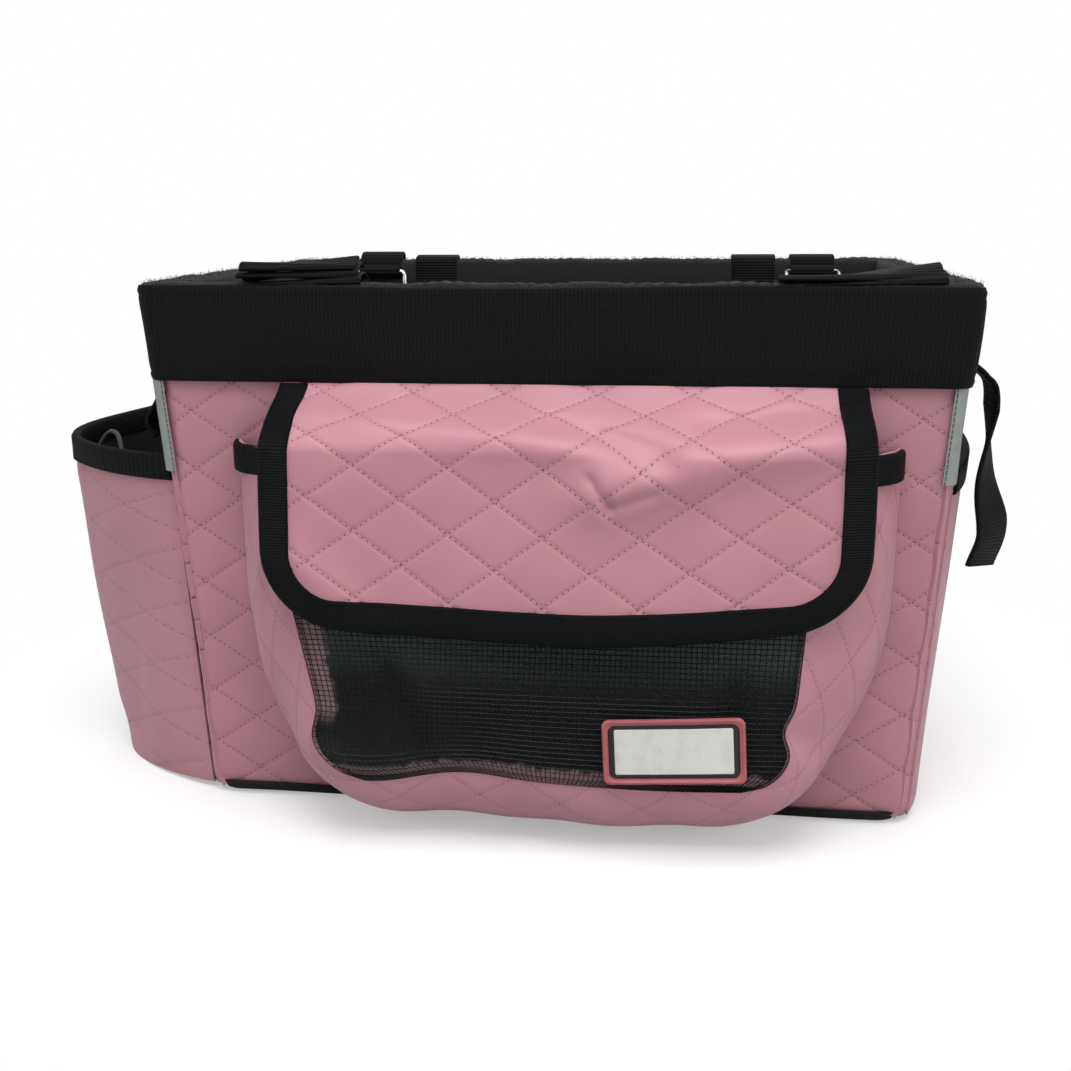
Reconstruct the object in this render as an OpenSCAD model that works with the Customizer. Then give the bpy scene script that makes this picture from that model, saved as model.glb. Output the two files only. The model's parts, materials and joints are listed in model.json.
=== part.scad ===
// Soft-sided pet basket for a bicycle handlebar: a tapering box of quilted panels over stiff boards,
// with a flapped mesh pocket on the front, a bottle pocket on each side and two handlebar loops behind.
// Origin: middle of the underside. X runs to the right, Y to the back, Z up. Millimetres.

/* [Body] */
// Width of the body at the rim
top_w = 340; // [300:5:420]
// Width of the body at the base
bottom_w = 312; // [280:4:400]
// Depth of the body at the rim
top_d = 250; // [220:5:320]
// Depth of the body at the base
bottom_d = 235; // [210:5:310]
// Height of the walls
body_h = 230; // [190:5:290]
// Thickness of the quilted outer panels
panel_t = 3; // [2:0.5:4]
// Thickness of the stiffening boards in the walls
stiffener_t = 2; // [1.5:0.5:3]
// Thickness of the lining
lining_t = 1; // [0.8:0.2:1.6]
// Thickness of the base cloth
base_t = 2.5; // [2:0.5:4]
// Thickness of the base board
board_t = 3; // [2:0.5:5]
// Corner radius of the base cloth
base_corner_r = 12; // [6:1:20]

/* [Rim] */
// Height of the webbing band round the rim
band_h = 38; // [25:1:50]
// Thickness of the webbing band
band_t = 1.6; // [1.2:0.2:2]
// Depth of the loop tape inside the rim
tape_h = 25; // [16:1:38]
// Thickness of the loop tape
tape_t = 1.5; // [1:0.1:2]

/* [Floor pad] */
// Thickness of the floor pad
pad_t = 18; // [12:1:25]
// Gap between the floor pad and the lining
pad_gap = 2; // [1.5:0.5:6]
// Corner radius of the floor pad
pad_corner_r = 18; // [10:1:30]

/* [Front pocket] */
// Sideways offset of the pocket from the middle of the front
pocket_x = 6; // [-15:1:15]
// Depth of the pocket's mouth below the rim
pocket_drop = 63; // [58:1:80]
// Height of the pocket's bottom seam above the base
pocket_bottom = 6; // [5:1:20]
// Width of the pocket's mouth where it meets the body
pocket_mouth_w = 276; // [240:2:290]
// Width of the lower corners of the pocket's seam on the body
pocket_corner_w = 75; // [50:1:90]
// Height of the lower corners of the pocket's seam on the body
pocket_corner_h = 100; // [60:1:120]
// Width of the mesh
mesh_w = 194; // [160:2:230]
// Height of the lower edge of the mesh above the base
mesh_foot = 36; // [25:1:60]
// Radius of the lower corners of the mesh
mesh_corner_r = 20; // [10:1:30]
// How far the pocket stands out from the body at the foot of the mesh
pocket_depth = 45; // [30:1:60]
// How far the pocket stands out from the body at its mouth
mouth_depth = 27; // [20:1:40]
// Thickness of the pocket's cloth
gusset_t = 2.5; // [2:0.5:3.5]
// Thickness of the mesh
mesh_t = 1; // [0.8:0.1:1.5]
// Width of the binding tape on every edge
binding_w = 12; // [8:1:15]
// Thickness of a bound edge
binding_t = 3.6; // [3:0.2:5]

/* [Flap] */
// Sideways offset of the flap from the middle of the front
flap_x = 9; // [-15:1:15]
// Width of the flap
flap_w = 240; // [200:2:260]
// Depth of the flap's lower edge below the rim
flap_drop = 130; // [115:1:145]
// Radius of the flap's lower corners
flap_corner_r = 30; // [15:1:40]
// Thickness of the flap
flap_t = 3; // [2:0.5:4]
// Thickness of each half of the hook-and-loop closure
closure_t = 1.2; // [0.8:0.1:1.5]
// Width of the closure
closure_w = 120; // [60:5:160]
// Height of the closure strips
closure_h = 20; // [15:1:25]

/* [Label] */
// Width of the blank label
label_w = 57; // [40:1:80]
// Height of the blank label
label_h = 27; // [20:1:40]
// Width of the label's raised frame
label_frame_w = 3; // [2:0.5:5]
// Thickness of the label
label_t = 1.4; // [1:0.1:2]
// Sideways place of the label on the mesh, from the middle of the pocket
label_x = 50; // [-50:1:60]

/* [Bottle pockets] */
// Width of a bottle pocket along the side
bottle_w = 165; // [135:1:180]
// Depth of its mouth below the rim at the front edge
bottle_drop = 72; // [68:1:100]
// Angle by which the mouth rises towards the back
bottle_mouth_tilt = 6; // [0:1:7]
// How far the left pocket bulges at its mouth
left_bulge = 70; // [40:1:85]
// How far the right pocket bulges at its mouth
right_bulge = 13; // [12:1:25]
// Share of the mouth's bulge that is left at the foot
foot_share = 0.92; // [0.6:0.02:1]

/* [Webbing and metal] */
// Width of the straps
strap_w = 25; // [20:1:30]
// Thickness of the straps
strap_t = 2; // [1.5:0.1:2.5]
// Radius of the handlebar loops
loop_r = 16; // [12.7:0.1:20]
// Distance of the handlebar loops from the middle
loop_x = 92; // [70:1:96]
// Depth of the handlebar loops' middle below the rim
loop_drop = 24; // [22:1:40]
// Length of the handlebar strap that is sewn to the back
loop_tail = 100; // [60:5:130]
// Gap between a handlebar strap and the ring tab beside it
strap_gap = 8; // [6:1:12]
// Wire diameter of the metal rings
ring_wire = 3; // [2.5:0.1:4]
// Height of the metal rings
ring_h = 18; // [14:1:24]
// Angle at which the right ring lies below the horizontal
right_ring_dip = 15; // [0:1:30]
// Angle at which the left ring hangs below the horizontal
left_ring_dip = 80; // [60:1:84]
// Distance of the side straps' middle from the front edge
side_strap_y = 32; // [25:1:45]
// Length of the right side strap
right_strap_drop = 92; // [60:2:100]
// How far the right side strap hangs off the rim band
right_strap_stand = 14; // [14:1:24]
// Length of the left side strap
left_strap_drop = 40; // [30:1:40]
// How far the left side strap hangs off the rim band
left_strap_stand = 4; // [2:1:8]
// Width of the reflective strips
reflector_w = 14; // [8:1:16]
// Thickness of the reflective strips
reflector_t = 0.4; // [0.3:0.1:0.8]

/* [Front tabs] */
// Width of the left folded tab
left_tab_w = 54; // [40:1:70]
// Height of the left folded tab
left_tab_h = 8; // [5:1:10]
// Distance of the left tab's middle from the middle of the rim
left_tab_x = 102; // [80:1:120]
// Width of the right folded tab
right_tab_w = 66; // [40:1:70]
// Height of the right folded tab
right_tab_h = 4; // [3:1:10]
// Distance of the right tab's middle from the middle of the rim
right_tab_x = 124; // [80:1:124]
// How far the tabs reach over the rim
tab_d = 14; // [8:1:16]

/* [Drawcord] */
// Diameter of the bottle pocket's drawcord
cord_d = 3; // [2.5:0.1:4]

/* [Hidden] */
$fn = 48;
seam = 0.05;          // hairline between pieces that are sewn or pressed together
free_gap = 0.3;       // gap between a loose piece and its neighbour
eps = 0.01;           // thickness of the slices that a hull joins

lean_x = atan((top_w - bottom_w) / 2 / body_h);   // lean of the side walls
lean_y = atan((top_d - bottom_d) / 2 / body_h);   // lean of the front and back walls
stack_t = panel_t + stiffener_t + lining_t;       // thickness of a wall
rim_z = body_h + tape_t;                          // top of the edge tape
board_z = base_t + seam;                          // underside of the base board
floor_z = board_z + board_t + seam;               // underside of the lining's floor
pad_z = floor_z + lining_t + free_gap;            // underside of the floor pad

// ---------- helpers: each wall has a frame with X along it, Y up it and Z outwards ----------

module on_front() { translate([0, -bottom_d / 2, 0]) rotate([90 + lean_y, 0, 0]) children(); }
module on_back() { rotate([0, 0, 180]) on_front() children(); }
module on_left() {
    rotate([0, 0, -90]) translate([0, -bottom_w / 2, 0]) rotate([90 + lean_x, 0, 0]) children();
}
module on_right() { mirror([1, 0, 0]) on_left() children(); }

// Half of the width or depth of the body at a height up the wall, less an inset
function half_w(s, inset) =
    (bottom_w + (top_w - bottom_w) * s * cos(lean_y) / body_h) / 2 - inset / cos(lean_x);
function half_d(s, inset) =
    (bottom_d + (top_d - bottom_d) * s * cos(lean_x) / body_h) / 2 - inset / cos(lean_y);
// A height up a front or side wall, from a true height
function up_front(z) = z / cos(lean_y);
function up_side(z) = z / cos(lean_x);

// A flat layer of the front or back wall, from one height to another and from one depth to another
module wide_layer(z0, z1, inset, out0, out1) {
    s0 = up_front(z0);
    s1 = up_front(z1);
    translate([0, 0, out0]) linear_extrude(out1 - out0)
        polygon([[-half_w(s0, inset), s0], [half_w(s0, inset), s0],
            [half_w(s1, inset), s1], [-half_w(s1, inset), s1]]);
}

// A flat layer of a side wall, likewise
module side_layer(z0, z1, inset, out0, out1) {
    s0 = up_side(z0);
    s1 = up_side(z1);
    translate([0, 0, out0]) linear_extrude(out1 - out0)
        polygon([[-half_d(s0, inset), s0], [half_d(s0, inset), s0],
            [half_d(s1, inset), s1], [-half_d(s1, inset), s1]]);
}

// The outline of a ribbon of even thickness along a path
function unit(v) = v / norm(v);
function heading(p, i) = unit(p[min(i + 1, len(p) - 1)] - p[max(i - 1, 0)]);
function beside(p, i, d) = p[i] + d * [-heading(p, i)[1], heading(p, i)[0]];
function ribbon(p, t) = concat([for (i = [0 : len(p) - 1]) beside(p, i, t / 2)],
    [for (i = [len(p) - 1 : -1 : 0]) beside(p, i, -t / 2)]);

// A plane figure of depth out and height up a wall, drawn out along the wall
module along_wall(x, w) {
    translate([x - w / 2, 0, 0]) rotate([90, 0, 90]) rotate([0, 0, 90])
        mirror([0, 1, 0]) linear_extrude(w) children();
}

module rounded_plate(w, d, h, r) {
    linear_extrude(h) {
        square([w - 2 * r, d], center = true);
        square([w, d - 2 * r], center = true);
        for (x = [-1, 1], y = [-1, 1]) translate([x * (w / 2 - r), y * (d / 2 - r)]) circle(r);
    }
}

// ---------- body ----------

// The inner edge of a leaning layer lies this much higher than its outer edge
rim_rise = (stack_t + tape_t) * sin(max(lean_x, lean_y));
wall_top = body_h - rim_rise - seam;

module outer_wide() { color("pink") wide_layer(base_t + seam, wall_top, 0, -panel_t, 0); }
module outer_side() { color("pink") side_layer(base_t + seam, wall_top, panel_t + seam, -panel_t, 0); }

module base_panel() { color([0.08, 0.08, 0.09]) rounded_plate(bottom_w, bottom_d, base_t, base_corner_r); }

// Each board and each lining wall stops short of its neighbour's inner face at the corners
module stiffener_wide() {
    color([0.30, 0.30, 0.32])
        wide_layer(floor_z, wall_top, panel_t + seam, -panel_t - stiffener_t, -panel_t - seam);
}
module stiffener_side() {
    color([0.30, 0.30, 0.32])
        side_layer(floor_z, wall_top, panel_t + stiffener_t + 2 * seam, -panel_t - stiffener_t, -panel_t - seam);
}

module base_board() {
    color([0.30, 0.30, 0.32])
        translate([0, 0, board_z]) linear_extrude(board_t)
            square([2 * (half_w(board_z, panel_t) - seam), 2 * (half_d(board_z, panel_t) - seam)], center = true);
}

module lining() {
    shell = panel_t + stiffener_t + seam;
    color([0.07, 0.07, 0.08]) {
        translate([0, 0, floor_z + seam]) linear_extrude(lining_t - 2 * seam)
            square([2 * half_w(floor_z, shell + seam), 2 * half_d(floor_z, shell + seam)], center = true);
        for (turn = [0, 180]) rotate([0, 0, turn])
            on_front() wide_layer(floor_z + lining_t, wall_top, shell + seam, -stack_t, -shell);
        for (flip = [0, 1]) mirror([flip, 0, 0])
            on_left() side_layer(floor_z + lining_t, wall_top, stack_t + 2 * seam, -stack_t, -shell);
    }
}

module rim_band() {
    color([0.05, 0.05, 0.06]) {
        for (turn = [0, 180]) rotate([0, 0, turn])
            on_front() wide_layer(body_h - band_h, wall_top, -band_t, seam, band_t);
        for (flip = [0, 1]) mirror([flip, 0, 0])
            on_left() side_layer(body_h - band_h, wall_top, seam, seam, band_t);
    }
}

module rim_loop_tape() {
    edge_w = top_w + 2 * band_t;
    edge_d = top_d + 2 * band_t;
    reach = band_t + stack_t + tape_t;
    color([0.12, 0.12, 0.13]) {
        for (flip = [0, 1]) mirror([0, flip, 0])
            translate([-edge_w / 2, -edge_d / 2, body_h]) cube([edge_w, reach, tape_t]);
        for (flip = [0, 1]) mirror([flip, 0, 0])
            translate([-edge_w / 2, -edge_d / 2 + reach + seam, body_h])
                cube([reach, edge_d - 2 * (reach + seam), tape_t]);
        for (turn = [0, 180]) rotate([0, 0, turn])
            on_front() wide_layer(body_h - tape_h, wall_top, stack_t + seam, -stack_t - tape_t, -stack_t - seam);
        for (flip = [0, 1]) mirror([flip, 0, 0])
            on_left() side_layer(body_h - tape_h, wall_top, stack_t + tape_t + 2 * seam,
                -stack_t - tape_t, -stack_t - seam);
    }
}

module floor_pad() {
    color([0.10, 0.10, 0.11]) translate([0, 0, pad_z])
        rounded_plate(2 * (half_w(pad_z, stack_t) - pad_gap), 2 * (half_d(pad_z, stack_t) - pad_gap),
            pad_t, pad_corner_r);
}

// ---------- front pocket ----------

// The front face of the pocket leans back towards its mouth; its frame has Y up it and Z out of it
pocket_top = body_h - pocket_drop;
slope = atan((pocket_depth - mouth_depth) / (pocket_top - mesh_foot));
slope_len = (pocket_top - mesh_foot) / cos(slope);
module on_pocket(out) {
    translate([pocket_x, mesh_foot, pocket_depth]) rotate([-slope, 0, 0]) translate([0, 0, out]) children();
}

// A figure with a straight top and elliptic lower corners
module bowl(half, top, foot, corner_w, corner_h) {
    right = [for (a = [0 : 15 : 90]) [half - corner_w + corner_w * cos(a), foot + corner_h - corner_h * sin(a)]];
    left = [for (i = [len(right) - 1 : -1 : 0]) [-right[i][0], right[i][1]]];
    polygon(concat([[half, top]], right, left, [[-half, top]]));
}
module mesh_outline(inset)
    bowl(mesh_w / 2 - inset, slope_len + inset, inset, mesh_corner_r - inset, mesh_corner_r - inset);

// The pocket's outer form, or the same form smaller by an inset; front is how far it passes the front face
module pocket_form(inset, front) {
    hull() {
        translate([pocket_x, 0, inset > 0 ? -eps : 0]) linear_extrude(eps)
            bowl(pocket_mouth_w / 2 - inset, pocket_top + inset, pocket_bottom + inset,
                pocket_corner_w - inset, pocket_corner_h - inset);
        on_pocket(front - eps) linear_extrude(eps) mesh_outline(inset);
    }
}

// What lies between two heights in front of the front wall
module front_zone(s0, s1) { translate([-top_w / 2, s0, 0]) cube([top_w, s1 - s0, pocket_depth + 20]); }

bound_s = pocket_top - binding_w;     // lower edge of the pocket's binding

module pocket_gusset() {
    color("pink") on_front() difference() {
        pocket_form(0, 0);
        pocket_form(gusset_t, eps);
        front_zone(bound_s - seam, pocket_top + 10);
    }
}

module pocket_binding() {
    color([0.05, 0.05, 0.06]) on_front() difference() {
        intersection() {
            pocket_form(0, mesh_t);
            front_zone(bound_s, pocket_top);
        }
        pocket_form(binding_t, mesh_t - binding_t);
    }
}

module pocket_mesh() {
    color([0.04, 0.05, 0.05]) on_front() difference() {
        on_pocket(seam) linear_extrude(mesh_t - seam) mesh_outline(0);
        front_zone(bound_s - seam, pocket_top + 10);
    }
}

closure_gap = 2;                                                        // from the flap's binding to the closure
closure_foot = (body_h - flap_drop + binding_w + closure_gap - mesh_foot) / cos(slope);  // lower edge of the closure strips

module closure_strip(out) {
    on_front() on_pocket(out) translate([flap_x - pocket_x - closure_w / 2, closure_foot, 0])
        cube([closure_w, closure_h, closure_t]);
}
module pocket_loop_strip() { color([0.12, 0.12, 0.13]) closure_strip(mesh_t); }

// The plain label: a raised frame round a blank face
label_rise = 2;         // height of the label above the foot of the mesh
label_recess = 0.4;     // how far the face lies below its frame
module on_label() { on_front() on_pocket(mesh_t) translate([label_x, label_rise + label_h / 2, 0]) children(); }
module label_outline(inset) { square([label_w - 2 * inset, label_h - 2 * inset], center = true); }
module label_frame() {
    color([0.62, 0.22, 0.25]) on_label() linear_extrude(label_t) difference() {
        label_outline(0);
        label_outline(label_frame_w);
    }
}
module label_face() {
    color([0.88, 0.86, 0.82]) on_label() linear_extrude(label_t - label_recess) label_outline(label_frame_w + seam);
}

// ---------- flap ----------

flap_foot = body_h - flap_drop;                                     // height of the flap's lower edge
bound_extra = 0.1;                                                  // the binding stands this proud of the flap
hinge_s = body_h - band_h - flap_t / 2 - free_gap;                  // height of the flap's seam
hinge_out = flap_t / 2 + bound_extra + free_gap;                    // the seam's distance from the wall
hang = mesh_t + 2 * closure_t + free_gap + flap_t / 2;              // middle of the hanging flap from the pocket
flap_steps = 12;                                                    // steps in the curve from seam to shoulder

// A place on the pocket's front face, as [out, up]
function on_slope(y, z) = [pocket_depth - y * sin(slope) + z * cos(slope), mesh_foot + y * cos(slope) + z * sin(slope)];
shoulder = on_slope(slope_len, hang);                               // the flap hangs straight below this
// Smooth step from 0 to 1
function ease(t) = t * t * (3 - 2 * t);
// The flap's middle line, as [out, up] points from its seam down to its foot
flap_line = concat(
    [for (i = [0 : flap_steps]) let (t = i / flap_steps)
        [hinge_out + (shoulder[0] - hinge_out) * ease(pow(t, 0.8)), hinge_s + (shoulder[1] - hinge_s) * t]],
    [on_slope((flap_foot - mesh_foot) / cos(slope), hang)]);

module flap_form(t) { along_wall(flap_x, flap_w) polygon(ribbon(flap_line, t)); }

// The flap seen from the front, less an inset
module flap_outline(inset) {
    w = flap_w - 2 * inset;
    r = flap_corner_r - inset;
    foot = flap_foot + inset;
    translate([flap_x, 0]) {
        translate([-w / 2, foot + r]) square([w, hinge_s + 20 - foot - r]);
        translate([-w / 2 + r, foot]) square([w - 2 * r, r + eps]);
        for (x = [-1, 1]) translate([x * (w / 2 - r), foot + r]) circle(r);
    }
}

module flap_panel() {
    color("pink") on_front() intersection() {
        flap_form(flap_t);
        translate([0, 0, -10]) linear_extrude(100) flap_outline(binding_w);
    }
}
module flap_binding() {
    color([0.05, 0.05, 0.06]) on_front() difference() {
        intersection() {
            flap_form(flap_t + 2 * bound_extra);
            translate([0, 0, -10]) linear_extrude(100) flap_outline(0);
        }
        translate([0, 0, -20]) linear_extrude(120) flap_outline(binding_w - seam);
    }
}
module flap_hook_strip() { color([0.12, 0.12, 0.13]) closure_strip(hang - flap_t / 2 - closure_t); }

// ---------- bottle pockets, in a side wall's frame with +X towards the front ----------

// The line of a pocket's mouth rises towards the back
pocket_front = half_d(0, panel_t) - 1;                              // front seam of the pocket
pocket_back = pocket_front - bottle_w;
bottle_mouth = body_h - bottle_drop;
function mouth(u) = bottle_mouth + (pocket_front - u) * tan(bottle_mouth_tilt);

// The pocket seen from above, fullest towards the front
function bulge_at(t) = pow(sin(180 * pow(t, 1.5)), 0.8);
plan_steps = 24;                                        // steps in the plan of a bottle pocket
module pocket_plan(bulge, inset)
    polygon([for (i = [0 : plan_steps])
        [pocket_back + inset + (bottle_w - 2 * inset) * i / plan_steps,
            -(bulge - inset) * bulge_at(i / plan_steps)]]);

module bottle_form(bulge, inset) {
    top = mouth(pocket_back) + 5;
    foot = base_t + 1 + inset;
    module slice(s, b) { translate([0, s, 0]) rotate([-90, 0, 0]) linear_extrude(eps) pocket_plan(b, inset); }
    hull() {
        slice(foot, bulge * foot_share);
        slice(top, bulge);
    }
}

// What lies below the mouth's line by one distance and above it by another
module below_mouth(low, high) {
    translate([0, 0, -5]) linear_extrude(left_bulge + right_bulge + 20) polygon([
        [pocket_back - 5, low], [pocket_front + 5, low],
        [pocket_front + 5, mouth(pocket_front + 5) - high], [pocket_back - 5, mouth(pocket_back - 5) - high]]);
}
module mouth_zone() {
    translate([0, 0, -5]) linear_extrude(left_bulge + right_bulge + 20) polygon([
        [pocket_back - 5, mouth(pocket_back - 5) - binding_w + seam],
        [pocket_front + 5, mouth(pocket_front + 5) - binding_w + seam],
        [pocket_front + 5, mouth(pocket_front + 5)], [pocket_back - 5, mouth(pocket_back - 5)]]);
}

module bottle_pocket(bulge) {
    intersection() {
        difference() {
            bottle_form(bulge, 0);
            bottle_form(bulge, gusset_t);
        }
        below_mouth(0, binding_w);
    }
}
module bottle_binding(bulge) {
    intersection() {
        difference() {
            bottle_form(bulge, 0);
            bottle_form(bulge, binding_t);
        }
        mouth_zone();
    }
}

module left_bottle_pocket() { color("pink") on_left() bottle_pocket(left_bulge); }
module left_pocket_binding() { color([0.05, 0.05, 0.06]) on_left() bottle_binding(left_bulge); }
module right_bottle_pocket() { color("pink") on_right() bottle_pocket(right_bulge); }
module right_pocket_binding() { color([0.05, 0.05, 0.06]) on_right() bottle_binding(right_bulge); }

// A reflective strip along the front edge of each side, down to the bottle pocket
module reflective_strip() {
    s0 = mouth(pocket_front) + 6;
    s1 = up_side(body_h - band_h) - seam;
    color([0.55, 0.58, 0.55]) translate([0, 0, seam]) linear_extrude(reflector_t)
        polygon([[half_d(s0, panel_t) - reflector_w, s0], [half_d(s0, panel_t) - 0.5, s0],
            [half_d(s1, panel_t) - 0.5, s1], [half_d(s1, panel_t) - reflector_w, s1]]);
}

// ---------- side straps ----------

strap_u = half_d(body_h, panel_t) - side_strap_y;       // middle of the strap along the side
strap_fold_s = up_side(body_h) - 26;                    // height of the seam that the strap hangs from

// A strap is sewn by its end to the rim band and hangs to a bent tip; stand is how far it hangs off the band
function strap_line(stand, drop) = let (x0 = band_t + free_gap + strap_t / 2)
    [[x0, strap_fold_s], [x0 + 0.2, strap_fold_s - 3],
        [x0 + 0.6 * stand, strap_fold_s - 9], [x0 + stand, strap_fold_s - 18],
        [x0 + stand - 1, strap_fold_s - drop * 0.58], [x0 + stand + 6, strap_fold_s - drop * 0.82],
        [x0 + stand + 1, strap_fold_s - drop]];

module side_strap(stand, drop) {
    color([0.06, 0.06, 0.07]) along_wall(strap_u, strap_w) polygon(ribbon(strap_line(stand, drop), strap_t));
}

// ---------- back: handlebar loops and ring tabs ----------

back_out = band_t + seam + strap_t / 2;                 // middle of a strap on the rim band
inner_out = -stack_t - tape_t - seam - strap_t / 2;     // middle of a strap inside the rim
over_s = up_front(rim_z) + seam + strap_t / 2 + free_gap;    // middle of a strap over the rim

// A strap sewn to the back, over the rim and down inside it
function over_rim(tail, inside) =
    [[back_out, over_s - tail], [back_out, over_s], [inner_out, over_s], [inner_out, over_s - inside]];
module rim_strap(x, tail, inside) { along_wall(x, strap_w) mitred(over_rim(tail, inside)); }
// A ribbon whose square corners are filled
module mitred(p) {
    for (i = [0 : len(p) - 2]) {
        a = [min(p[i][0], p[i + 1][0]), min(p[i][1], p[i + 1][1])];
        b = [max(p[i][0], p[i + 1][0]), max(p[i][1], p[i + 1][1])];
        translate(a - [strap_t / 2, strap_t / 2]) square(b - a + [strap_t, strap_t]);
    }
}

ring_x = loop_x + strap_w + strap_gap;
loop_s = up_front(body_h) - loop_drop;
loop_out = back_out + strap_t / 2 + loop_r;
strap_inside = 20;                                      // the strap's end, down inside the rim
module handlebar_strap(x) {
    color([0.06, 0.06, 0.07]) difference() {
        union() {
            rim_strap(x, loop_tail, strap_inside);
            translate([x - strap_w / 2, loop_s, loop_out]) rotate([0, 90, 0])
                cylinder(r = loop_r + strap_t, h = strap_w);
        }
        translate([x - strap_w, loop_s, loop_out]) rotate([0, 90, 0]) cylinder(r = loop_r, h = 2 * strap_w);
    }
}

// A ring hangs in a sleeve at the end of its tab, just inside the rim
ring_clear = 0.1;
sleeve_r = ring_wire / 2 + ring_clear;
pivot_out = inner_out - strap_t / 2 - sleeve_r;
ring_drop = 8;                                          // the ring's axis, below the strap over the rim
pivot_s = over_s - ring_drop;
sleeve_w = strap_w - 1;
tab_tail = 55;                                          // length of a ring tab down the back
module ring_tab(x) {
    color([0.06, 0.06, 0.07]) difference() {
        union() {
            rim_strap(x, tab_tail, ring_drop);
            translate([x - sleeve_w / 2, pivot_s, pivot_out]) rotate([0, 90, 0])
                cylinder(r = sleeve_r + strap_t, h = sleeve_w);
        }
        translate([x - strap_w, pivot_s, pivot_out]) rotate([0, 90, 0]) cylinder(r = sleeve_r, h = 2 * strap_w);
    }
}

ring_inner_w = strap_w + 1;
module ring(x, dip) {
    half = (ring_inner_w + ring_wire) / 2;
    reach = ring_h - ring_wire;
    color([0.75, 0.75, 0.76]) translate([x, pivot_s, pivot_out]) rotate([90 - dip + lean_y, 0, 0]) {
        for (y = [0, -reach]) translate([-half, y, 0]) rotate([0, 90, 0]) cylinder(d = ring_wire, h = 2 * half);
        for (x = [-half, half]) translate([x, 0, 0]) rotate([90, 0, 0]) cylinder(d = ring_wire, h = reach);
        for (x = [-half, half], y = [0, -reach]) translate([x, y, 0]) sphere(d = ring_wire);
    }
}

// ---------- folded tabs on the front rim ----------

// A folded tab lies over the rim with its upper edges rounded off
module front_tab(x, w, h) {
    edge = h / 4;
    color([0.09, 0.09, 0.10]) translate([x - w / 2, -top_d / 2 - band_t + 1, rim_z + seam])
        rotate([90, 0, 90]) linear_extrude(w)
            polygon([[0, 0], [tab_d, 0], [tab_d, h - edge], [tab_d - 3, h], [3, h], [0, h - edge]]);
}

// ---------- drawcord of the left bottle pocket ----------

// The loop's route in the left wall's frame: [towards the front, up from the mouth, out]
cord_route = [[92, -6, 34], [91, -2, 34], [89, 2, 35], [86, 5, 37], [82, 6, 40],
    [78, 6, 44], [75, 4, 48], [73.5, 0, 52], [72.5, -6, 56]];

// Rings of points round a path, and the skin that joins them
function cross3(a, b) = [a[1] * b[2] - a[2] * b[1], a[2] * b[0] - a[0] * b[2], a[0] * b[1] - a[1] * b[0]];
function path_ring(p, i, r, n) =
    let (t = heading(p, i), a = unit(cross3(t, [0.3, 0.1, 1])), b = cross3(t, a))
    [for (k = [0 : n - 1]) p[i] + r * (cos(360 * k / n) * a + sin(360 * k / n) * b)];
module tube(p, d, n = 8) {
    last = (len(p) - 1) * n;
    polyhedron(
        points = [for (i = [0 : len(p) - 1]) each path_ring(p, i, d / 2, n)],
        faces = concat([[for (k = [0 : n - 1]) k]],
            [for (i = [0 : len(p) - 2], k = [0 : n - 1]) [i * n + k, (i + 1) * n + k, i * n + (k + 1) % n]],
            [for (i = [0 : len(p) - 2], k = [0 : n - 1])
                [(i + 1) * n + k, (i + 1) * n + (k + 1) % n, i * n + (k + 1) % n]],
            [[for (k = [n - 1 : -1 : 0]) last + k]]));
}
module left_pocket_cord() {
    color([0.16, 0.16, 0.17]) on_left() translate([0, bottle_mouth, 0]) tube(cord_route, cord_d);
}

// ---------- nodes ----------

on_front() outer_wide();  // front_panel
on_back() outer_wide();  // back_panel
on_left() outer_side();  // left_panel
on_right() outer_side();  // right_panel
base_panel();
on_front() stiffener_wide();  // front_stiffener
on_back() stiffener_wide();  // back_stiffener
on_left() stiffener_side();  // left_stiffener
on_right() stiffener_side();  // right_stiffener
base_board();
lining();
rim_band();
rim_loop_tape();
on_left() reflective_strip();  // left_reflective_strip
on_right() reflective_strip();  // right_reflective_strip
pocket_gusset();
pocket_mesh();
pocket_binding();
pocket_loop_strip();
label_frame();
label_face();
left_bottle_pocket();
left_pocket_binding();
left_pocket_cord();
right_bottle_pocket();
right_pocket_binding();
on_back() handlebar_strap(loop_x);  // left_handlebar_strap
on_back() handlebar_strap(-loop_x);  // right_handlebar_strap
on_back() ring_tab(ring_x);  // left_ring_tab
on_back() ring_tab(-ring_x);  // right_ring_tab
on_back() ring(ring_x, left_ring_dip);  // left_ring
on_back() ring(-ring_x, right_ring_dip);  // right_ring
front_tab(-left_tab_x, left_tab_w, left_tab_h);  // left_front_tab
front_tab(right_tab_x, right_tab_w, right_tab_h);  // right_front_tab
on_left() side_strap(left_strap_stand, left_strap_drop);  // left_side_strap
on_right() side_strap(right_strap_stand, right_strap_drop);  // right_side_strap
flap_panel();
flap_binding();
flap_hook_strip();
floor_pad();
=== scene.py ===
"""Looks of a soft pet basket for a bicycle handlebar, in quilted cloth, webbing and mesh."""
import json
import math

import bpy
import numpy as np
from mathutils import Matrix, Vector


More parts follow.
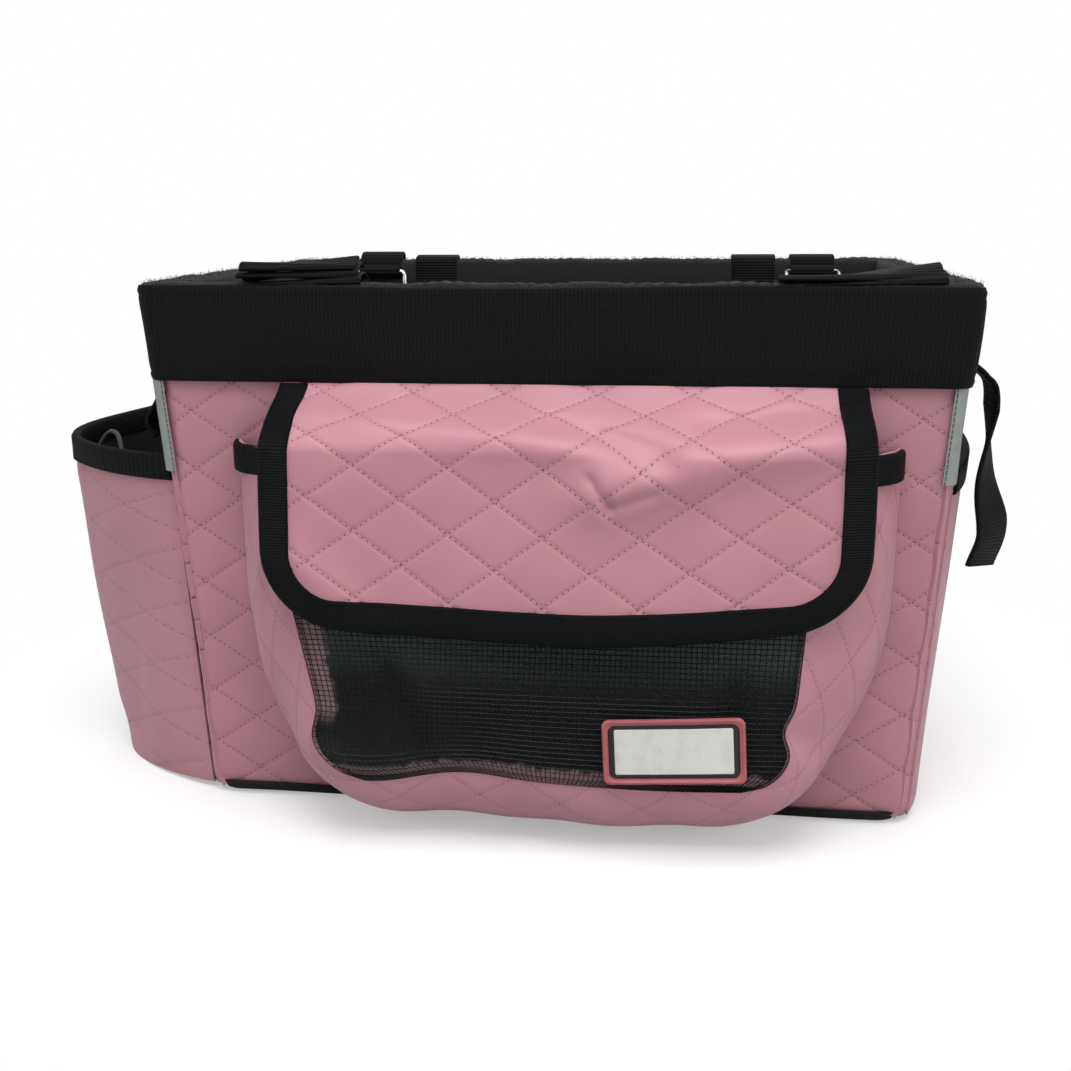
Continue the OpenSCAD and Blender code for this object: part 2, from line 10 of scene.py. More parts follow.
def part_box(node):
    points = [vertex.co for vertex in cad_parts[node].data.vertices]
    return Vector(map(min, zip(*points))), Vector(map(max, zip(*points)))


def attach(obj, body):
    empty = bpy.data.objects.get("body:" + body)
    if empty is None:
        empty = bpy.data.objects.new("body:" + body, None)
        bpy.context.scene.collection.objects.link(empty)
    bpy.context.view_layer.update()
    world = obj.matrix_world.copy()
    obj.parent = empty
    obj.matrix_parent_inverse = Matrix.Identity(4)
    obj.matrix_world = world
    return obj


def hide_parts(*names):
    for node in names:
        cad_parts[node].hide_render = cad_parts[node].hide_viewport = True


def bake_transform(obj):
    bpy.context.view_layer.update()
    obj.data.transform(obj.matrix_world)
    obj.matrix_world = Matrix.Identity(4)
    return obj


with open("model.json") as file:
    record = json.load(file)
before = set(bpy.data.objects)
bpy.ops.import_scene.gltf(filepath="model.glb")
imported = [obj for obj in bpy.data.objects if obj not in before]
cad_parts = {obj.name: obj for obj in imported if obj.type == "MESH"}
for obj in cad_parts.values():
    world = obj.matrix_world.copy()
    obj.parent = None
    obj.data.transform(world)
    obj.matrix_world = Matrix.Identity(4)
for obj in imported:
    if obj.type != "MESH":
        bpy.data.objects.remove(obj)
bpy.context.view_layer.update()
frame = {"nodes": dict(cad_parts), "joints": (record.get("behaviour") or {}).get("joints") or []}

bl_info = {
    "name": "Soft Pet Basket",
    "version": (1, 0, 0),
    "blender": (4, 5, 0),
    "location": "View3D > Sidebar > Pet Basket",
    "description": "Builds the cloth, webbing, mesh and trim of a soft pet basket round its construction",
    "category": "Object",
}

# ---------------------------------------------------------------- the construction's sizes, in metres

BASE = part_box("base_panel")
WIDE_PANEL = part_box("front_panel")
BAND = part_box("rim_band")
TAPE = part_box("rim_loop_tape")
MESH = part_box("pocket_mesh")
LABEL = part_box("label_frame")
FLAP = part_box("flap_binding")
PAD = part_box("floor_pad")

MM = 0.001
PANEL_T = 3 * MM                # thickness of the quilted cloth
WALL_T = 6 * MM                 # cloth, board and lining together
BAND_T = 1.6 * MM               # thickness of the rim band
TAPE_T = 1.5 * MM               # thickness of the loop tape
BODY_CORNER = 7 * MM            # radius of the body's upright corners
STRAP_T = 2 * MM                # thickness of the straps
STRAP_W = 25 * MM               # width of the straps
BINDING_W = 12 * MM             # width of the binding on every edge
HEIGHT = TAPE[1].z - TAPE_T     # height of the walls
BAND_H = HEIGHT - BAND[0].z     # height of the rim band
POCKET_X = (MESH[0].x + MESH[1].x) / 2      # middle of the front pocket, across the body
MESH_HALF = (MESH[1].x - MESH[0].x) / 2
MESH_FOOT = 36 * MM             # lower edge of the mesh, up the front wall
MESH_CORNER = 20 * MM           # radius of the mesh's lower corners
POCKET_TOP = HEIGHT - 63 * MM   # mouth of the front pocket
POCKET_FOOT = 6 * MM            # bottom seam of the front pocket
POCKET_HALF = 138 * MM          # half the width of the front pocket at the body
POCKET_CORNER = (75 * MM, 100 * MM)     # width and height of the pocket's lower corners
POCKET_DEPTH = 45 * MM          # the pocket's depth at the foot of the mesh
MOUTH_DEPTH = 27 * MM           # the pocket's depth at its mouth
FLAP_X = (FLAP[0].x + FLAP[1].x) / 2        # middle of the flap, across the body
FLAP_HALF = (FLAP[1].x - FLAP[0].x) / 2
FLAP_CORNER = 30 * MM           # radius of the flap's lower corners
FLAP_SEAM = HEIGHT - BAND_H - 0.4 * MM      # seam of the flap, just under the rim band
FLAP_HANG = 5.2 * MM            # middle of the hanging flap, from the pocket's front
BOTTLE_W = 165 * MM             # width of a bottle pocket along the side
BOTTLE_MOUTH = HEIGHT - 72 * MM             # lowest place of a bottle pocket's mouth
BOTTLE_TILT = math.tan(math.radians(6))     # rise of the mouth along the side
BOTTLE_FOOT = 3.5 * MM          # bottom seam of a bottle pocket
BOTTLE_BULGE = {"left": 70 * MM, "right": 13 * MM}     # how far each pocket stands out
FOOT_SHARE = 0.92               # share of a bottle pocket's bulge that is left at its foot
SLOPE = math.atan2(POCKET_DEPTH - MOUTH_DEPTH, POCKET_TOP - MESH_FOOT)


class Wall:
    """A leaning wall's own frame: along it, up it from the base, and out of it."""

    def __init__(self, along, outward, foot, tangent):
        lean = math.atan(tangent)
        self.along = np.array(along, float)
        self.foot = foot * np.array(outward, float)
        self.up = np.array((0, 0, 1)) * math.cos(lean) + np.array(outward) * math.sin(lean)
        self.out = np.array(outward) * math.cos(lean) - np.array((0, 0, 1)) * math.sin(lean)

    def at(self, a, s, out):
        a, s, out = np.broadcast_arrays(*(np.asarray(x, float) for x in (a, s, out)))
        return self.foot + a[..., None] * self.along + s[..., None] * self.up + out[..., None] * self.out


LEAN_X = (WIDE_PANEL[1].x - BASE[1].x) / WIDE_PANEL[1].z
LEAN_Y = (-WIDE_PANEL[0].y - BASE[1].y) / WIDE_PANEL[1].z
FRONT = Wall((1, 0, 0), (0, -1, 0), BASE[1].y, LEAN_Y)
BACK = Wall((-1, 0, 0), (0, 1, 0), BASE[1].y, LEAN_Y)
LEFT = Wall((0, -1, 0), (-1, 0, 0), BASE[1].x, LEAN_X)
RIGHT = Wall((0, -1, 0), (1, 0, 0), BASE[1].x, LEAN_X)


def half_wide(z):
    """Half the body's width at a height."""
    return BASE[1].x + z * LEAN_X


def half_deep(z):
    """Half the body's depth at a height."""
    return BASE[1].y + z * LEAN_Y


# ---------------------------------------------------------------- settings that a user would change


def size(name, description, value):
    return bpy.props.FloatProperty(name=name, description=description, default=value, unit="LENGTH")


def colour(name, description, value):
    return bpy.props.FloatVectorProperty(name=name, description=description, default=value, subtype="COLOR",
                                         size=3, min=0, max=1)


class BasketSizes(bpy.types.PropertyGroup):
    """Sizes of the cloth's details"""
    quilt_w: size("Diamond width", "Width of a quilted diamond", 38 * MM)
    quilt_h: size("Diamond height", "Height of a quilted diamond", 25.5 * MM)
    puff: size("Puff", "How far a diamond stands out of its seams", 0.6 * MM)
    stitch: size("Stitch", "Length of a stitch and the hole after it", 2.6 * MM)
    rib: size("Rib", "Distance from rib to rib on the rim band", 1.7 * MM)
    cell: size("Mesh cell", "Distance from wire to wire of the mesh", 2.15 * MM)
    wire: size("Mesh wire", "Thickness of the mesh's wire", 0.58 * MM)


class BasketColours(bpy.types.PropertyGroup):
    """Colours of the basket's cloth and trim"""
    pink: colour("Pink cloth", "The quilted panels", (0.460, 0.208, 0.252))
    thread: colour("Thread", "The quilting's stitches", (0.56, 0.27, 0.31))
    webbing: colour("Webbing", "The rim band and the straps", (0.0030, 0.0032, 0.0042))
    binding: colour("Binding", "The tape on every edge", (0.0022, 0.0030, 0.0034))
    mesh: colour("Mesh", "The front pocket's mesh", (0.0030, 0.0038, 0.0042))
    lining: colour("Lining", "The inside", (0.0040, 0.0042, 0.0050))
    reflector: colour("Reflector", "The strips on the front corners", (0.30, 0.33, 0.31))


# ---------------------------------------------------------------- shader sums


class Sum:
    """A shader socket that takes part in Python sums, each of which adds a Math node."""

    def __init__(self, graph, socket):
        self.graph, self.socket = graph, socket

    def math(self, operation, *others):
        node = self.graph.add("ShaderNodeMath", {"operation": operation}, self, *others)
        return node.out(0)

    def __add__(self, other):
        return self.math("ADD", other)

    def __radd__(self, other):
        return self.math("ADD", other)

    def __sub__(self, other):
        return self.math("SUBTRACT", other)

    def __rsub__(self, other):
        return self.graph.number(other).math("SUBTRACT", self)

    def __mul__(self, other):
        return self.math("MULTIPLY", other)

    def __rmul__(self, other):
        return self.math("MULTIPLY", other)

    def __truediv__(self, other):
        return self.math("DIVIDE", other)

    def __pow__(self, other):
        return self.math("POWER", other)

    def __abs__(self):
        return self.math("ABSOLUTE")

    def __neg__(self):
        return self.math("MULTIPLY", -1)

    def sin(self):
        return self.math("SINE")

    def fract(self):
        return self.math("FRACT")

    def round(self):
        return self.math("ROUND")

    def max(self, other):
        return self.math("MAXIMUM", other)

    def step(self, low, high):
        """0 below low, 1 above high and smooth between."""
        node = self.graph.add("ShaderNodeMapRange", {"interpolation_type": "SMOOTHSTEP"}, self, low, high)
        return node.out(0)


class Added:
    """A node that was added to a graph."""

    def __init__(self, graph, node):
        self.graph, self.node = graph, node

    def out(self, key):
        return Sum(self.graph, self.node.outputs[key])


class Graph:
    """A material's nodes, with the finished surface at its end."""

    def __init__(self, name):
        self.material = bpy.data.materials.new(name)
        self.material.use_nodes = True
        self.tree = self.material.node_tree
        self.surface = self.tree.nodes["Principled BSDF"]

    def add(self, kind, settings=None, *values, **named):
        node = self.tree.nodes.new(kind)
        for key, value in (settings or {}).items():
            setattr(node, key, value)
        for key, value in list(enumerate(values)) + list(named.items()):
            self.feed(node.inputs[key.replace("_", " ") if isinstance(key, str) else key], value)
        return Added(self, node)

    def feed(self, target, value):
        if isinstance(value, Sum):
            self.tree.links.new(value.socket, target)
        elif hasattr(value, "__len__") and len(value) == 3 and target.type == "RGBA":
            target.default_value = (*value, 1)
        else:
            target.default_value = value

    def number(self, value):
        node = self.add("ShaderNodeValue")
        node.node.outputs[0].default_value = value
        return node.out(0)

    def uv(self):
        """The piece's own map, in metres, as two sums."""
        point = self.add("ShaderNodeUVMap", {"uv_map": "UVMap"}).out(0)
        parts = self.add("ShaderNodeSeparateXYZ", None, point)
        return parts.out(0), parts.out(1)

    def place(self):
        """The place on the object, in metres."""
        point = self.add("ShaderNodeTexCoord").out("Object")
        parts = self.add("ShaderNodeSeparateXYZ", None, point)
        return parts.out(0), parts.out(1), parts.out(2), point

    def noise(self, point, scale, detail=3.0, rough=0.55):
        node = self.add("ShaderNodeTexNoise", None, Vector=point, Scale=scale, Detail=detail, Roughness=rough)
        return node.out(0)

    def mix(self, share, a, b):
        """Colour a where share is 0 and b where it is 1."""
        node = self.add("ShaderNodeMix", {"data_type": "RGBA"})
        sockets = node.node.inputs
        self.feed(sockets[0], share)
        self.feed(sockets[6], a)
        self.feed(sockets[7], b)
        return node.out(2)

    def finish(self, base, roughness, height=None, distance=0.5 * MM, **uniform):
        """Feeds the surface; height is a sum in shares of distance."""
        self.feed(self.surface.inputs["Base Color"], base)
        self.feed(self.surface.inputs["Roughness"], roughness)
        for key, value in uniform.items():
            self.surface.inputs[key.replace("_", " ")].default_value = value
        if height is not None:
            bump = self.add("ShaderNodeBump", None, Strength=1.0, Distance=distance, Height=height)
            self.tree.links.new(bump.node.outputs[0], self.surface.inputs["Normal"])
        return self.material


# ---------------------------------------------------------------- materials

MATERIALS = {}


def kept(make):
    """Makes each material once."""
    def once(*words):
        key = (make.__name__, *words)
        if key not in MATERIALS:
            MATERIALS[key] = make(*words)
        return MATERIALS[key]
    return once


def settings():
    return bpy.context.scene.basket_sizes, bpy.context.scene.basket_colours


@kept
def pink_cloth(quilted=True, faint=1.0):
    """Soft coated cloth with a fine grain, stitched in diamonds along its own map."""
    sizes, colours = settings()
    g = Graph("pink_cloth" if quilted else "pink_cloth_plain")
    x, y = g.uv()
    *_, where = g.place()
    grain = g.noise(where, 2600, 4.0, 0.6)
    cloud = g.noise(where, 22, 3.0)
    dirt = g.noise(where, 90, 5.0, 0.7)
    base = g.mix(cloud.step(0.35, 0.7), tuple(colours.pink), tuple(c * 0.93 for c in colours.pink))
    base = g.mix(dirt.step(0.62, 0.8) * 0.22, base, (0.35, 0.165, 0.20))
    speck = g.noise(where, 420, 1.0).step(0.79, 0.82)
    base = g.mix(speck * 0.35, base, (0.16, 0.06, 0.07))
    height = grain * 0.05
    rough = cloud * 0.12 + 0.44
    if quilted:
        w, h, pitch = sizes.quilt_w, sizes.quilt_h, sizes.stitch
        spacing = math.hypot(1 / w, 1 / h)
        side = math.hypot(w, h)
        for sign in (1, -1):
            line = x / w + y * (sign / h)
            off = abs(line - line.round()) / spacing
            run = (x * (w / side) - y * (sign * h / side)) / pitch
            step_in = run.fract()
            groove = 1 - off.step(0, 2.4 * MM)
            thread = (1 - off.step(0.16 * MM, 0.42 * MM)) * step_in.step(0.0, 0.16) \
                * (1 - step_in.step(0.72, 0.88))
            # painted shade: hole darkens the cloth at each needle hole, where shade falls into it
            hole = (1 - off.step(0.22 * MM, 0.55 * MM)) * (1 - thread.step(0, 0.5)) \
                * (1 - (abs(step_in - 0.96)).step(0.06, 0.16))
            shade = 1 - off.step(0.2 * MM, 0.8 * MM)
            base = g.mix(shade * (0.22 * faint), base, (0.26, 0.09, 0.12))
            base = g.mix(hole * (0.75 * faint), base, (0.09, 0.022, 0.034))
            base = g.mix(thread * 0.45 * faint, base, tuple(colours.thread))
            height = height - groove * groove * 0.4 + thread * 0.25 - hole * 0.5
    return g.finish(base, rough, height, 0.55 * MM, Specular_IOR_Level=0.4, Sheen_Weight=0.12,
                    Sheen_Roughness=0.4)


@kept
def ribbed(name, pitch, across=0, gloss=0.62):
    """Woven tape with ribs: across is the direction of its map that the ribs are counted along."""
    colours = settings()[1]
    g = Graph(name)
    u, v = g.uv()
    *_, where = g.place()
    along, over = (u, v) if across == 0 else (v, u)
    rib = (along * (2 * math.pi / pitch)).sin() * 0.5 + 0.5
    yarn = (over * (2 * math.pi / (0.55 * MM))).sin() * 0.5 + 0.5
    lint = g.noise(where, 700, 4.0, 0.75)
    base_colour = tuple(colours.binding if "binding" in name else colours.webbing)
    # painted highlight: top is the lighter colour painted on the crests of the ribs and yarns, where light
    # catches them
    top = tuple(c * 2.6 + 0.0015 for c in base_colour)
    base = g.mix(rib * yarn * 0.45, base_colour, top)
    base = g.mix(lint.step(0.66, 0.78) * 0.35, base, (0.022, 0.023, 0.026))
    height = rib * 0.8 + yarn * 0.25 + lint * 0.3
    return g.finish(base, gloss - rib * 0.1, height, 0.35 * MM, Specular_IOR_Level=0.10, Sheen_Weight=0.0,
                    Sheen_Roughness=0.5)


@kept
def plain_weave(name="lining_cloth", shine=0.68):
    """Black nylon, plainly woven."""
    colours = settings()[1]
    g = Graph(name)
    u, v = g.uv()
    *_, where = g.place()
    warp = (u * (2 * math.pi / (0.7 * MM))).sin()
    weft = (v * (2 * math.pi / (0.7 * MM))).sin()
    check = warp * weft * 0.5 + 0.5
    cloud = g.noise(where, 60, 4.0, 0.6)
    lint = g.noise(where, 900, 3.0, 0.8).step(0.68, 0.76)
    base = g.mix(check * 0.4 + cloud * 0.3, tuple(colours.lining), tuple(c * 2.6 for c in colours.lining))
    base = g.mix(lint * 0.3, base, (0.06, 0.06, 0.065))
    return g.finish(base, cloud * 0.15 + shine, check * 0.6 + cloud * 0.4, 0.3 * MM, Specular_IOR_Level=0.2,
                    Sheen_Weight=0.03, Sheen_Roughness=0.5)


@kept
def fuzzy(name="loop_tape"):
    """Napped loop tape."""
    g = Graph(name)
    *_, where = g.place()
    nap = g.noise(where, 1400, 5.0, 0.8)
    clump = g.noise(where, 240, 4.0, 0.7)
    base = g.mix(nap.step(0.45, 0.75), (0.005, 0.005, 0.006), (0.028, 0.029, 0.033))
    return g.finish(base, 0.9, nap + clump * 0.6, 0.8 * MM, Specular_IOR_Level=0.2, Sheen_Weight=0.08,
                    Sheen_Roughness=0.6)


@kept
def mesh_wire():
    """The mesh's coated wire."""
    g = Graph("mesh_wire")
    *_, where = g.place()
    wear = g.noise(where, 300, 3.0)
    base = g.mix(wear, tuple(settings()[1].mesh), (0.007, 0.009, 0.010))
    return g.finish(base, wear * 0.15 + 0.4, g.noise(where, 3000), 0.1 * MM, Specular_IOR_Level=0.3)


@kept
def mesh_backing():
    """The second layer behind the mesh, painted grey in its upper part as painted light and near black below
    as painted shade, with the pink seam showing at its left and lower edges.
    """
    g = Graph("mesh_backing")
    u, v = g.uv()
    *_, where = g.place()
    warp = (u * (2 * math.pi / (1.1 * MM))).sin()
    weft = (v * (2 * math.pi / (1.1 * MM))).sin()
    # painted light: the backing is painted grey-green in its upper part, where light falls in through the
    # mesh, and near black lower down as painted shade
    light = v.step(0.036, 0.060)
    base = g.mix(light, (0.004, 0.005, 0.0055), (0.085, 0.105, 0.100))
    wobble = g.noise(where, 160, 2.0) * 6 * MM
    left = (1 - (u + MESH_HALF + wobble).step(9 * MM, 12 * MM)) * v.step(0.018, 0.028)
    low = 1 - (v + wobble).step(6.5 * MM, 9 * MM)
    base = g.mix(left.max(low), base, (0.42, 0.27, 0.28))
    return g.finish(base, 0.8, warp * weft, 0.2 * MM)


@kept
def reflective():
    """Silver-grey tape of tiny beads, with a row of dark stitches beside the seam."""
    g = Graph("reflective_tape")
    u, v = g.uv()
    bead = g.noise(g.place()[3], 4200, 2.0)
    worn = g.noise(g.place()[3], 130, 5.0, 0.7)
    base = g.mix(bead * 0.5 + worn.step(0.4, 0.75) * 0.4, tuple(settings()[1].reflector), (0.19, 0.21, 0.2))
    stitch = (v / (2.4 * MM)).fract().step(0.2, 0.3) * (1 - abs(u - 1.2 * MM).step(0.3 * MM, 0.5 * MM))
    base = g.mix(stitch * 0.8, base, (0.02, 0.02, 0.022))
    return g.finish(base, 0.45, bead + stitch, 0.15 * MM, Metallic=0.15)


@kept
def rubber(name, value, gloss=0.42):
    """Moulded soft rubber."""
    g = Graph(name)
    *_, where = g.place()
    cloud = g.noise(where, 220, 4.0, 0.65)
    base = g.mix(cloud.step(0.4, 0.8) * 0.5, value, tuple(c * 0.72 for c in value))
    return g.finish(base, cloud * 0.2 + gloss, g.noise(where, 2200, 3.0), 0.06 * MM)


@kept
def metal():
    """Bright plated wire with fine scratches."""
    g = Graph("ring_metal")
    *_, where = g.place()
    scratch = g.noise(where, 900, 4.0, 0.7)
    base = g.mix(scratch.step(0.55, 0.8), (0.82, 0.81, 0.79), (0.5, 0.49, 0.47))
    return g.finish(base, scratch * 0.25 + 0.12, scratch, 0.03 * MM, Metallic=1.0)


@kept
def board():
    """Plain stiff sheet, hidden in the walls."""
    g = Graph("board")
    *_, where = g.place()
    cloud = g.noise(where, 80, 5.0)
    base = g.mix(cloud, (0.05, 0.05, 0.055), (0.09, 0.09, 0.1))
    return g.finish(base, 0.55 + cloud * 0.2, g.noise(where, 900), 0.1 * MM)


@kept
def braid():
    """Braided dark grey cord."""
    g = Graph("cord")
    u, v = g.uv()
    one = ((u + v * 0.5) * (2 * math.pi / (1.3 * MM))).sin()
    two = ((u - v * 0.5) * (2 * math.pi / (1.3 * MM))).sin()
    plait = one.max(two) * 0.5 + 0.5
    base = g.mix(plait, (0.01, 0.01, 0.011), (0.06, 0.06, 0.064))
    return g.finish(base, 0.7, plait, 0.2 * MM)


# ---------------------------------------------------------------- modelling


def deselect():
    """Nothing is selected, and no object is in edit mode."""
    if bpy.context.object and bpy.context.object.mode != "OBJECT":
        bpy.ops.object.mode_set(mode="OBJECT")
    for other in bpy.context.selected_objects:
        other.select_set(False)


def choose(piece):
    """Only this piece is selected and active."""
    deselect()
    piece.select_set(True)
    bpy.context.view_layer.objects.active = piece


def named(name):
    piece = bpy.context.object
    piece.name = piece.data.name = name
    return piece


def flat_grid(name, columns, rows):
    """A flat sheet of cells that covers the unit square."""
    deselect()
    bpy.ops.mesh.primitive_grid_add(x_subdivisions=columns, y_subdivisions=rows, size=1)
    return named(name)


def points(piece):
    out = np.empty(len(piece.data.vertices) * 3)
    piece.data.vertices.foreach_get("co", out)
    return out.reshape(-1, 3)


def move(piece, new):
    piece.data.vertices.foreach_set("co", np.ascontiguousarray(new, float).ravel())
    piece.data.update()


def write_map(piece, flat):
    """Writes the piece's map from one flat place for each vertex, in metres."""
    index = np.empty(len(piece.data.loops), int)
    piece.data.loops.foreach_get("vertex_index", index)
    layer = piece.data.uv_layers[0] if piece.data.uv_layers else piece.data.uv_layers.new(name="UVMap")
    layer.name = "UVMap"
    layer.data.foreach_set("uv", np.ascontiguousarray(flat[index], float).ravel())


def drape(name, columns, rows, place):
    """A sheet whose points go where place(u, v) says; place gives the points and their flat places."""
    piece = flat_grid(name, columns, rows)
    co = points(piece) + 0.5
    new, flat = place(np.clip(co[:, 0], 0, 1), np.clip(co[:, 1], 0, 1))
    move(piece, new)
    write_map(piece, flat)
    return piece


def edit(piece, *steps):
    """Runs edit-mode operators on all of a piece."""
    choose(piece)
    bpy.ops.object.mode_set(mode="EDIT")
    bpy.ops.mesh.select_all(action="SELECT")
    for step in steps:
        step()
    bpy.ops.object.mode_set(mode="OBJECT")
    return piece


def weld():
    bpy.ops.mesh.remove_doubles(threshold=0.00001)


def face_outwards():
    bpy.ops.mesh.normals_make_consistent(inside=False)


def apply(piece, kind, **values):
    """Adds a modifier and applies it."""
    choose(piece)
    modifier = piece.modifiers.new(kind.title(), kind)
    for key, value in values.items():
        setattr(modifier, key, value)
    bpy.ops.object.modifier_apply(modifier=modifier.name)
    return piece


def thicken(piece, thickness, side=-1):
    """Gives a sheet its thickness behind its face."""
    return apply(piece, "SOLIDIFY", thickness=thickness, offset=side, use_even_offset=False)


def smooth(piece, angle=40):
    choose(piece)
    bpy.ops.object.shade_smooth_by_angle(angle=math.radians(angle))
    return piece


def done(piece, body, slot, material, *nodes):
    """Finishes a piece: its material, its body and the construction that it stands for; slot is not used.

    A piece that lies between two bodies has no body of its own, so body is None and it is left unattached."""
    piece.data.materials.clear()
    piece.data.materials.append(material)
    if body:
        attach(piece, body)
    if nodes:
        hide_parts(*nodes)
    return piece


def unit(v):
    return v / np.maximum(np.linalg.norm(v, axis=-1, keepdims=True), 1e-12)


def resample(path, count):
    """Evenly spaced points on a polyline, and the distance to each."""
    path = np.asarray(path, float)
    steps = np.concatenate([[0], np.cumsum(np.linalg.norm(np.diff(path, axis=0), axis=1))])
    at = np.linspace(0, steps[-1], count)
    return np.stack([np.interp(at, steps, path[:, k]) for k in range(path.shape[1])], 1), at


def curve(knots, count):
    """A smooth path through its knots (a Catmull-Rom curve), evenly spaced."""
    p = np.asarray(knots, float)
    p = np.concatenate([[2 * p[0] - p[1]], p, [2 * p[-1] - p[-2]]])
    t = np.linspace(0, 1, 24, endpoint=False)[:, None]
    parts = []
    for a, b, c, d in zip(p[:-3], p[1:-2], p[2:-1], p[3:]):
        parts.append(0.5 * (2 * b + (c - a) * t + (2 * a - 5 * b + 4 * c - d) * t ** 2
                            + (3 * b - a - 3 * c + d) * t ** 3))
    return resample(np.concatenate(parts + [p[-2:-1]]), count)


def sweep(name, count, profile, place, closed=False):
    """A solid whose closed profile, a list of (across, out) points, runs along a path.

    place(u, across, out) gives the points and how far along the path each one lies."""
    profile = np.asarray(profile, float)
    rows = len(profile)
    sides = np.diff(np.vstack([profile, profile[:1]]), axis=0)
    rim = np.concatenate([[0], np.cumsum(np.linalg.norm(sides, axis=1))])

    def lay(u, v):
        k = np.rint(v * rows).astype(int)
        across, out = profile[k % rows].T
        new, along = place(u, across, out)
        return new, np.stack([along, rim[k]], 1)

    piece = drape(name, count, rows, lay)
    edit(piece, weld)
    if not closed:
        edit(piece, lambda: bpy.ops.mesh.select_all(action="DESELECT"), bpy.ops.mesh.select_non_manifold,
             lambda: bpy.ops.mesh.fill_holes(sides=0))
    return edit(piece, face_outwards)


def tape_profile(width, thickness):
    """A flat tape's profile, with rounded edges; across runs from 0 to width."""
    t, r = thickness / 2, thickness * 0.35
    return [(0, -t + r), (0, t - r), (r, t), (width / 3, t), (width * 2 / 3, t), (width - r, t),
            (width, t - r), (width, -t + r), (width - r, -t), (width * 2 / 3, -t), (width / 3, -t), (r, -t)]


def strap(name, knots, side, width, thickness, count=60, twist=None):
    """A webbing strap along a path; side is the direction of its width."""
    path, along = curve(knots, count + 1)
    side = unit(np.asarray(side, float))
    ahead = unit(np.gradient(path, axis=0))
    face = unit(np.cross(ahead, side))

    def place(u, across, out):
        i = np.rint(u * count).astype(int)
        s = side if twist is None else unit(side + twist(along[i] / along[-1])[:, None] * face[i])
        f = unit(np.cross(ahead[i], s))
        return path[i] + (across - width / 2)[:, None] * s + out[:, None] * f, along[i]

    return sweep(name, count, tape_profile(width, thickness), place)


def bound(name, surface, outline, inward, width=BINDING_W, thickness=4.4 * MM, count=160):
    """Binding tape folded over a cloth's edge.

    surface(a, b) gives the cloth's middle point at a flat place and its normal; outline is the edge in flat
    places, and inward gives the direction into the cloth at each point of the resampled edge."""
    edge, along = resample(outline, count + 1)
    into = inward(edge)
    t = thickness / 2
    profile = [(width, t * 0.55), (width - 0.6 * MM, t), (width * 0.55, t * 1.02), (1.2 * MM, t),
               (0.1 * MM, t * 0.6), (-0.35 * MM, 0), (0.1 * MM, -t * 0.6), (1.2 * MM, -t),
               (width * 0.55, -t * 1.02),
               (width - 0.6 * MM, -t), (width, -t * 0.55)]

    def place(u, across, out):
        i = np.rint(u * count).astype(int)
        flat = edge[i] + across[:, None] * into[i]
        middle, normal = surface(flat[:, 0], flat[:, 1])
        return middle + out[:, None] * normal, along[i]

    return sweep(name, count, profile, place)


def normals(surface, a, b, step=0.5 * MM):
    """A surface's unit normals, from its neighbours."""
    over = surface(a + step, b) - surface(a - step, b)
    down = surface(a, b + step) - surface(a, b - step)
    return unit(np.cross(over, down))


def hump(x, y, x0, y0, x1, y1, width, height, sharp=2.0):
    """A soft fold along a line from one place to another."""
    d = np.array((x1 - x0, y1 - y0))
    length = np.hypot(*d)
    d = d / length
    t = (x - x0) * d[0] + (y - y0) * d[1]
    off = (y - y0) * d[0] - (x - x0) * d[1]
    past = np.maximum(np.maximum(-t, t - length), 0)
    return height * np.exp(-np.abs(off / width) ** sharp - (past / (1.5 * width)) ** 2)


def quilt(x, y):
    """How far the quilting stands out at a flat place."""
    sizes = settings()[0]
    p, q = x / sizes.quilt_w + y / sizes.quilt_h, x / sizes.quilt_w - y / sizes.quilt_h
    return sizes.puff * (np.abs(np.sin(np.pi * p)) * np.abs(np.sin(np.pi * q))) ** 0.4


# ---------------------------------------------------------------- walls


def wall_sheet(name, wall, half, side, left_in=0.0, right_in=0.0):
    """A quilted wall: half(z) is its half width, and the ends are drawn in at its left and right."""
    top, foot = HEIGHT - 1.2 * MM, 2.4 * MM

    def place(u, v):
        s = foot + (top - foot) * v
        reach = half(s)
        a = -reach + left_in * v + (2 * reach - (left_in + right_in) * v) * u
        edge = np.minimum(u, 1 - u) * 2 * reach
        tuck = 3.5 * MM * np.maximum(0, 1 - s / (9 * MM)) ** 2 \
            + 2.0 * MM * np.maximum(0, 1 - edge / (5 * MM)) ** 2
        sag = 1.2 * MM * np.sin(np.pi * v) * np.sin(np.pi * u)
        ripple = 0.35 * MM * np.sin(a * 47 + s * 31) * np.sin(s * 53 + 1)
        out = quilt(a + side, s) - 0.9 * MM + sag + ripple - tuck
        return wall.at(a, s, out), np.stack([a + side, s], 1)

    piece = drape(name, 150, 100, place)
    thicken(piece, 2.1 * MM, 1 if wall is RIGHT else -1)
    return smooth(edit(piece, face_outwards), 60)


class BASKET_OT_walls(bpy.types.Operator):
    """Quilted walls"""
    bl_idname = "basket.walls"
    bl_label = "Walls"

    def execute(self, context):
        spots = {
            "front_panel": (FRONT, half_wide, 0.0, 4.5 * MM, 0.5 * MM),
            "back_panel": (BACK, half_wide, 9 * MM, 0, 0),
            "left_panel": (LEFT, half_deep, 5 * MM, 0, 0),
            "right_panel": (RIGHT, half_deep, -7 * MM, 0, 0),
        }
        for node, (wall, half, shift, left_in, right_in) in spots.items():
            piece = wall_sheet(node + "_cloth", wall, half, shift, left_in, right_in)
            done(piece, "basket", "pink_vinyl", pink_cloth(), node)
        return {"FINISHED"}


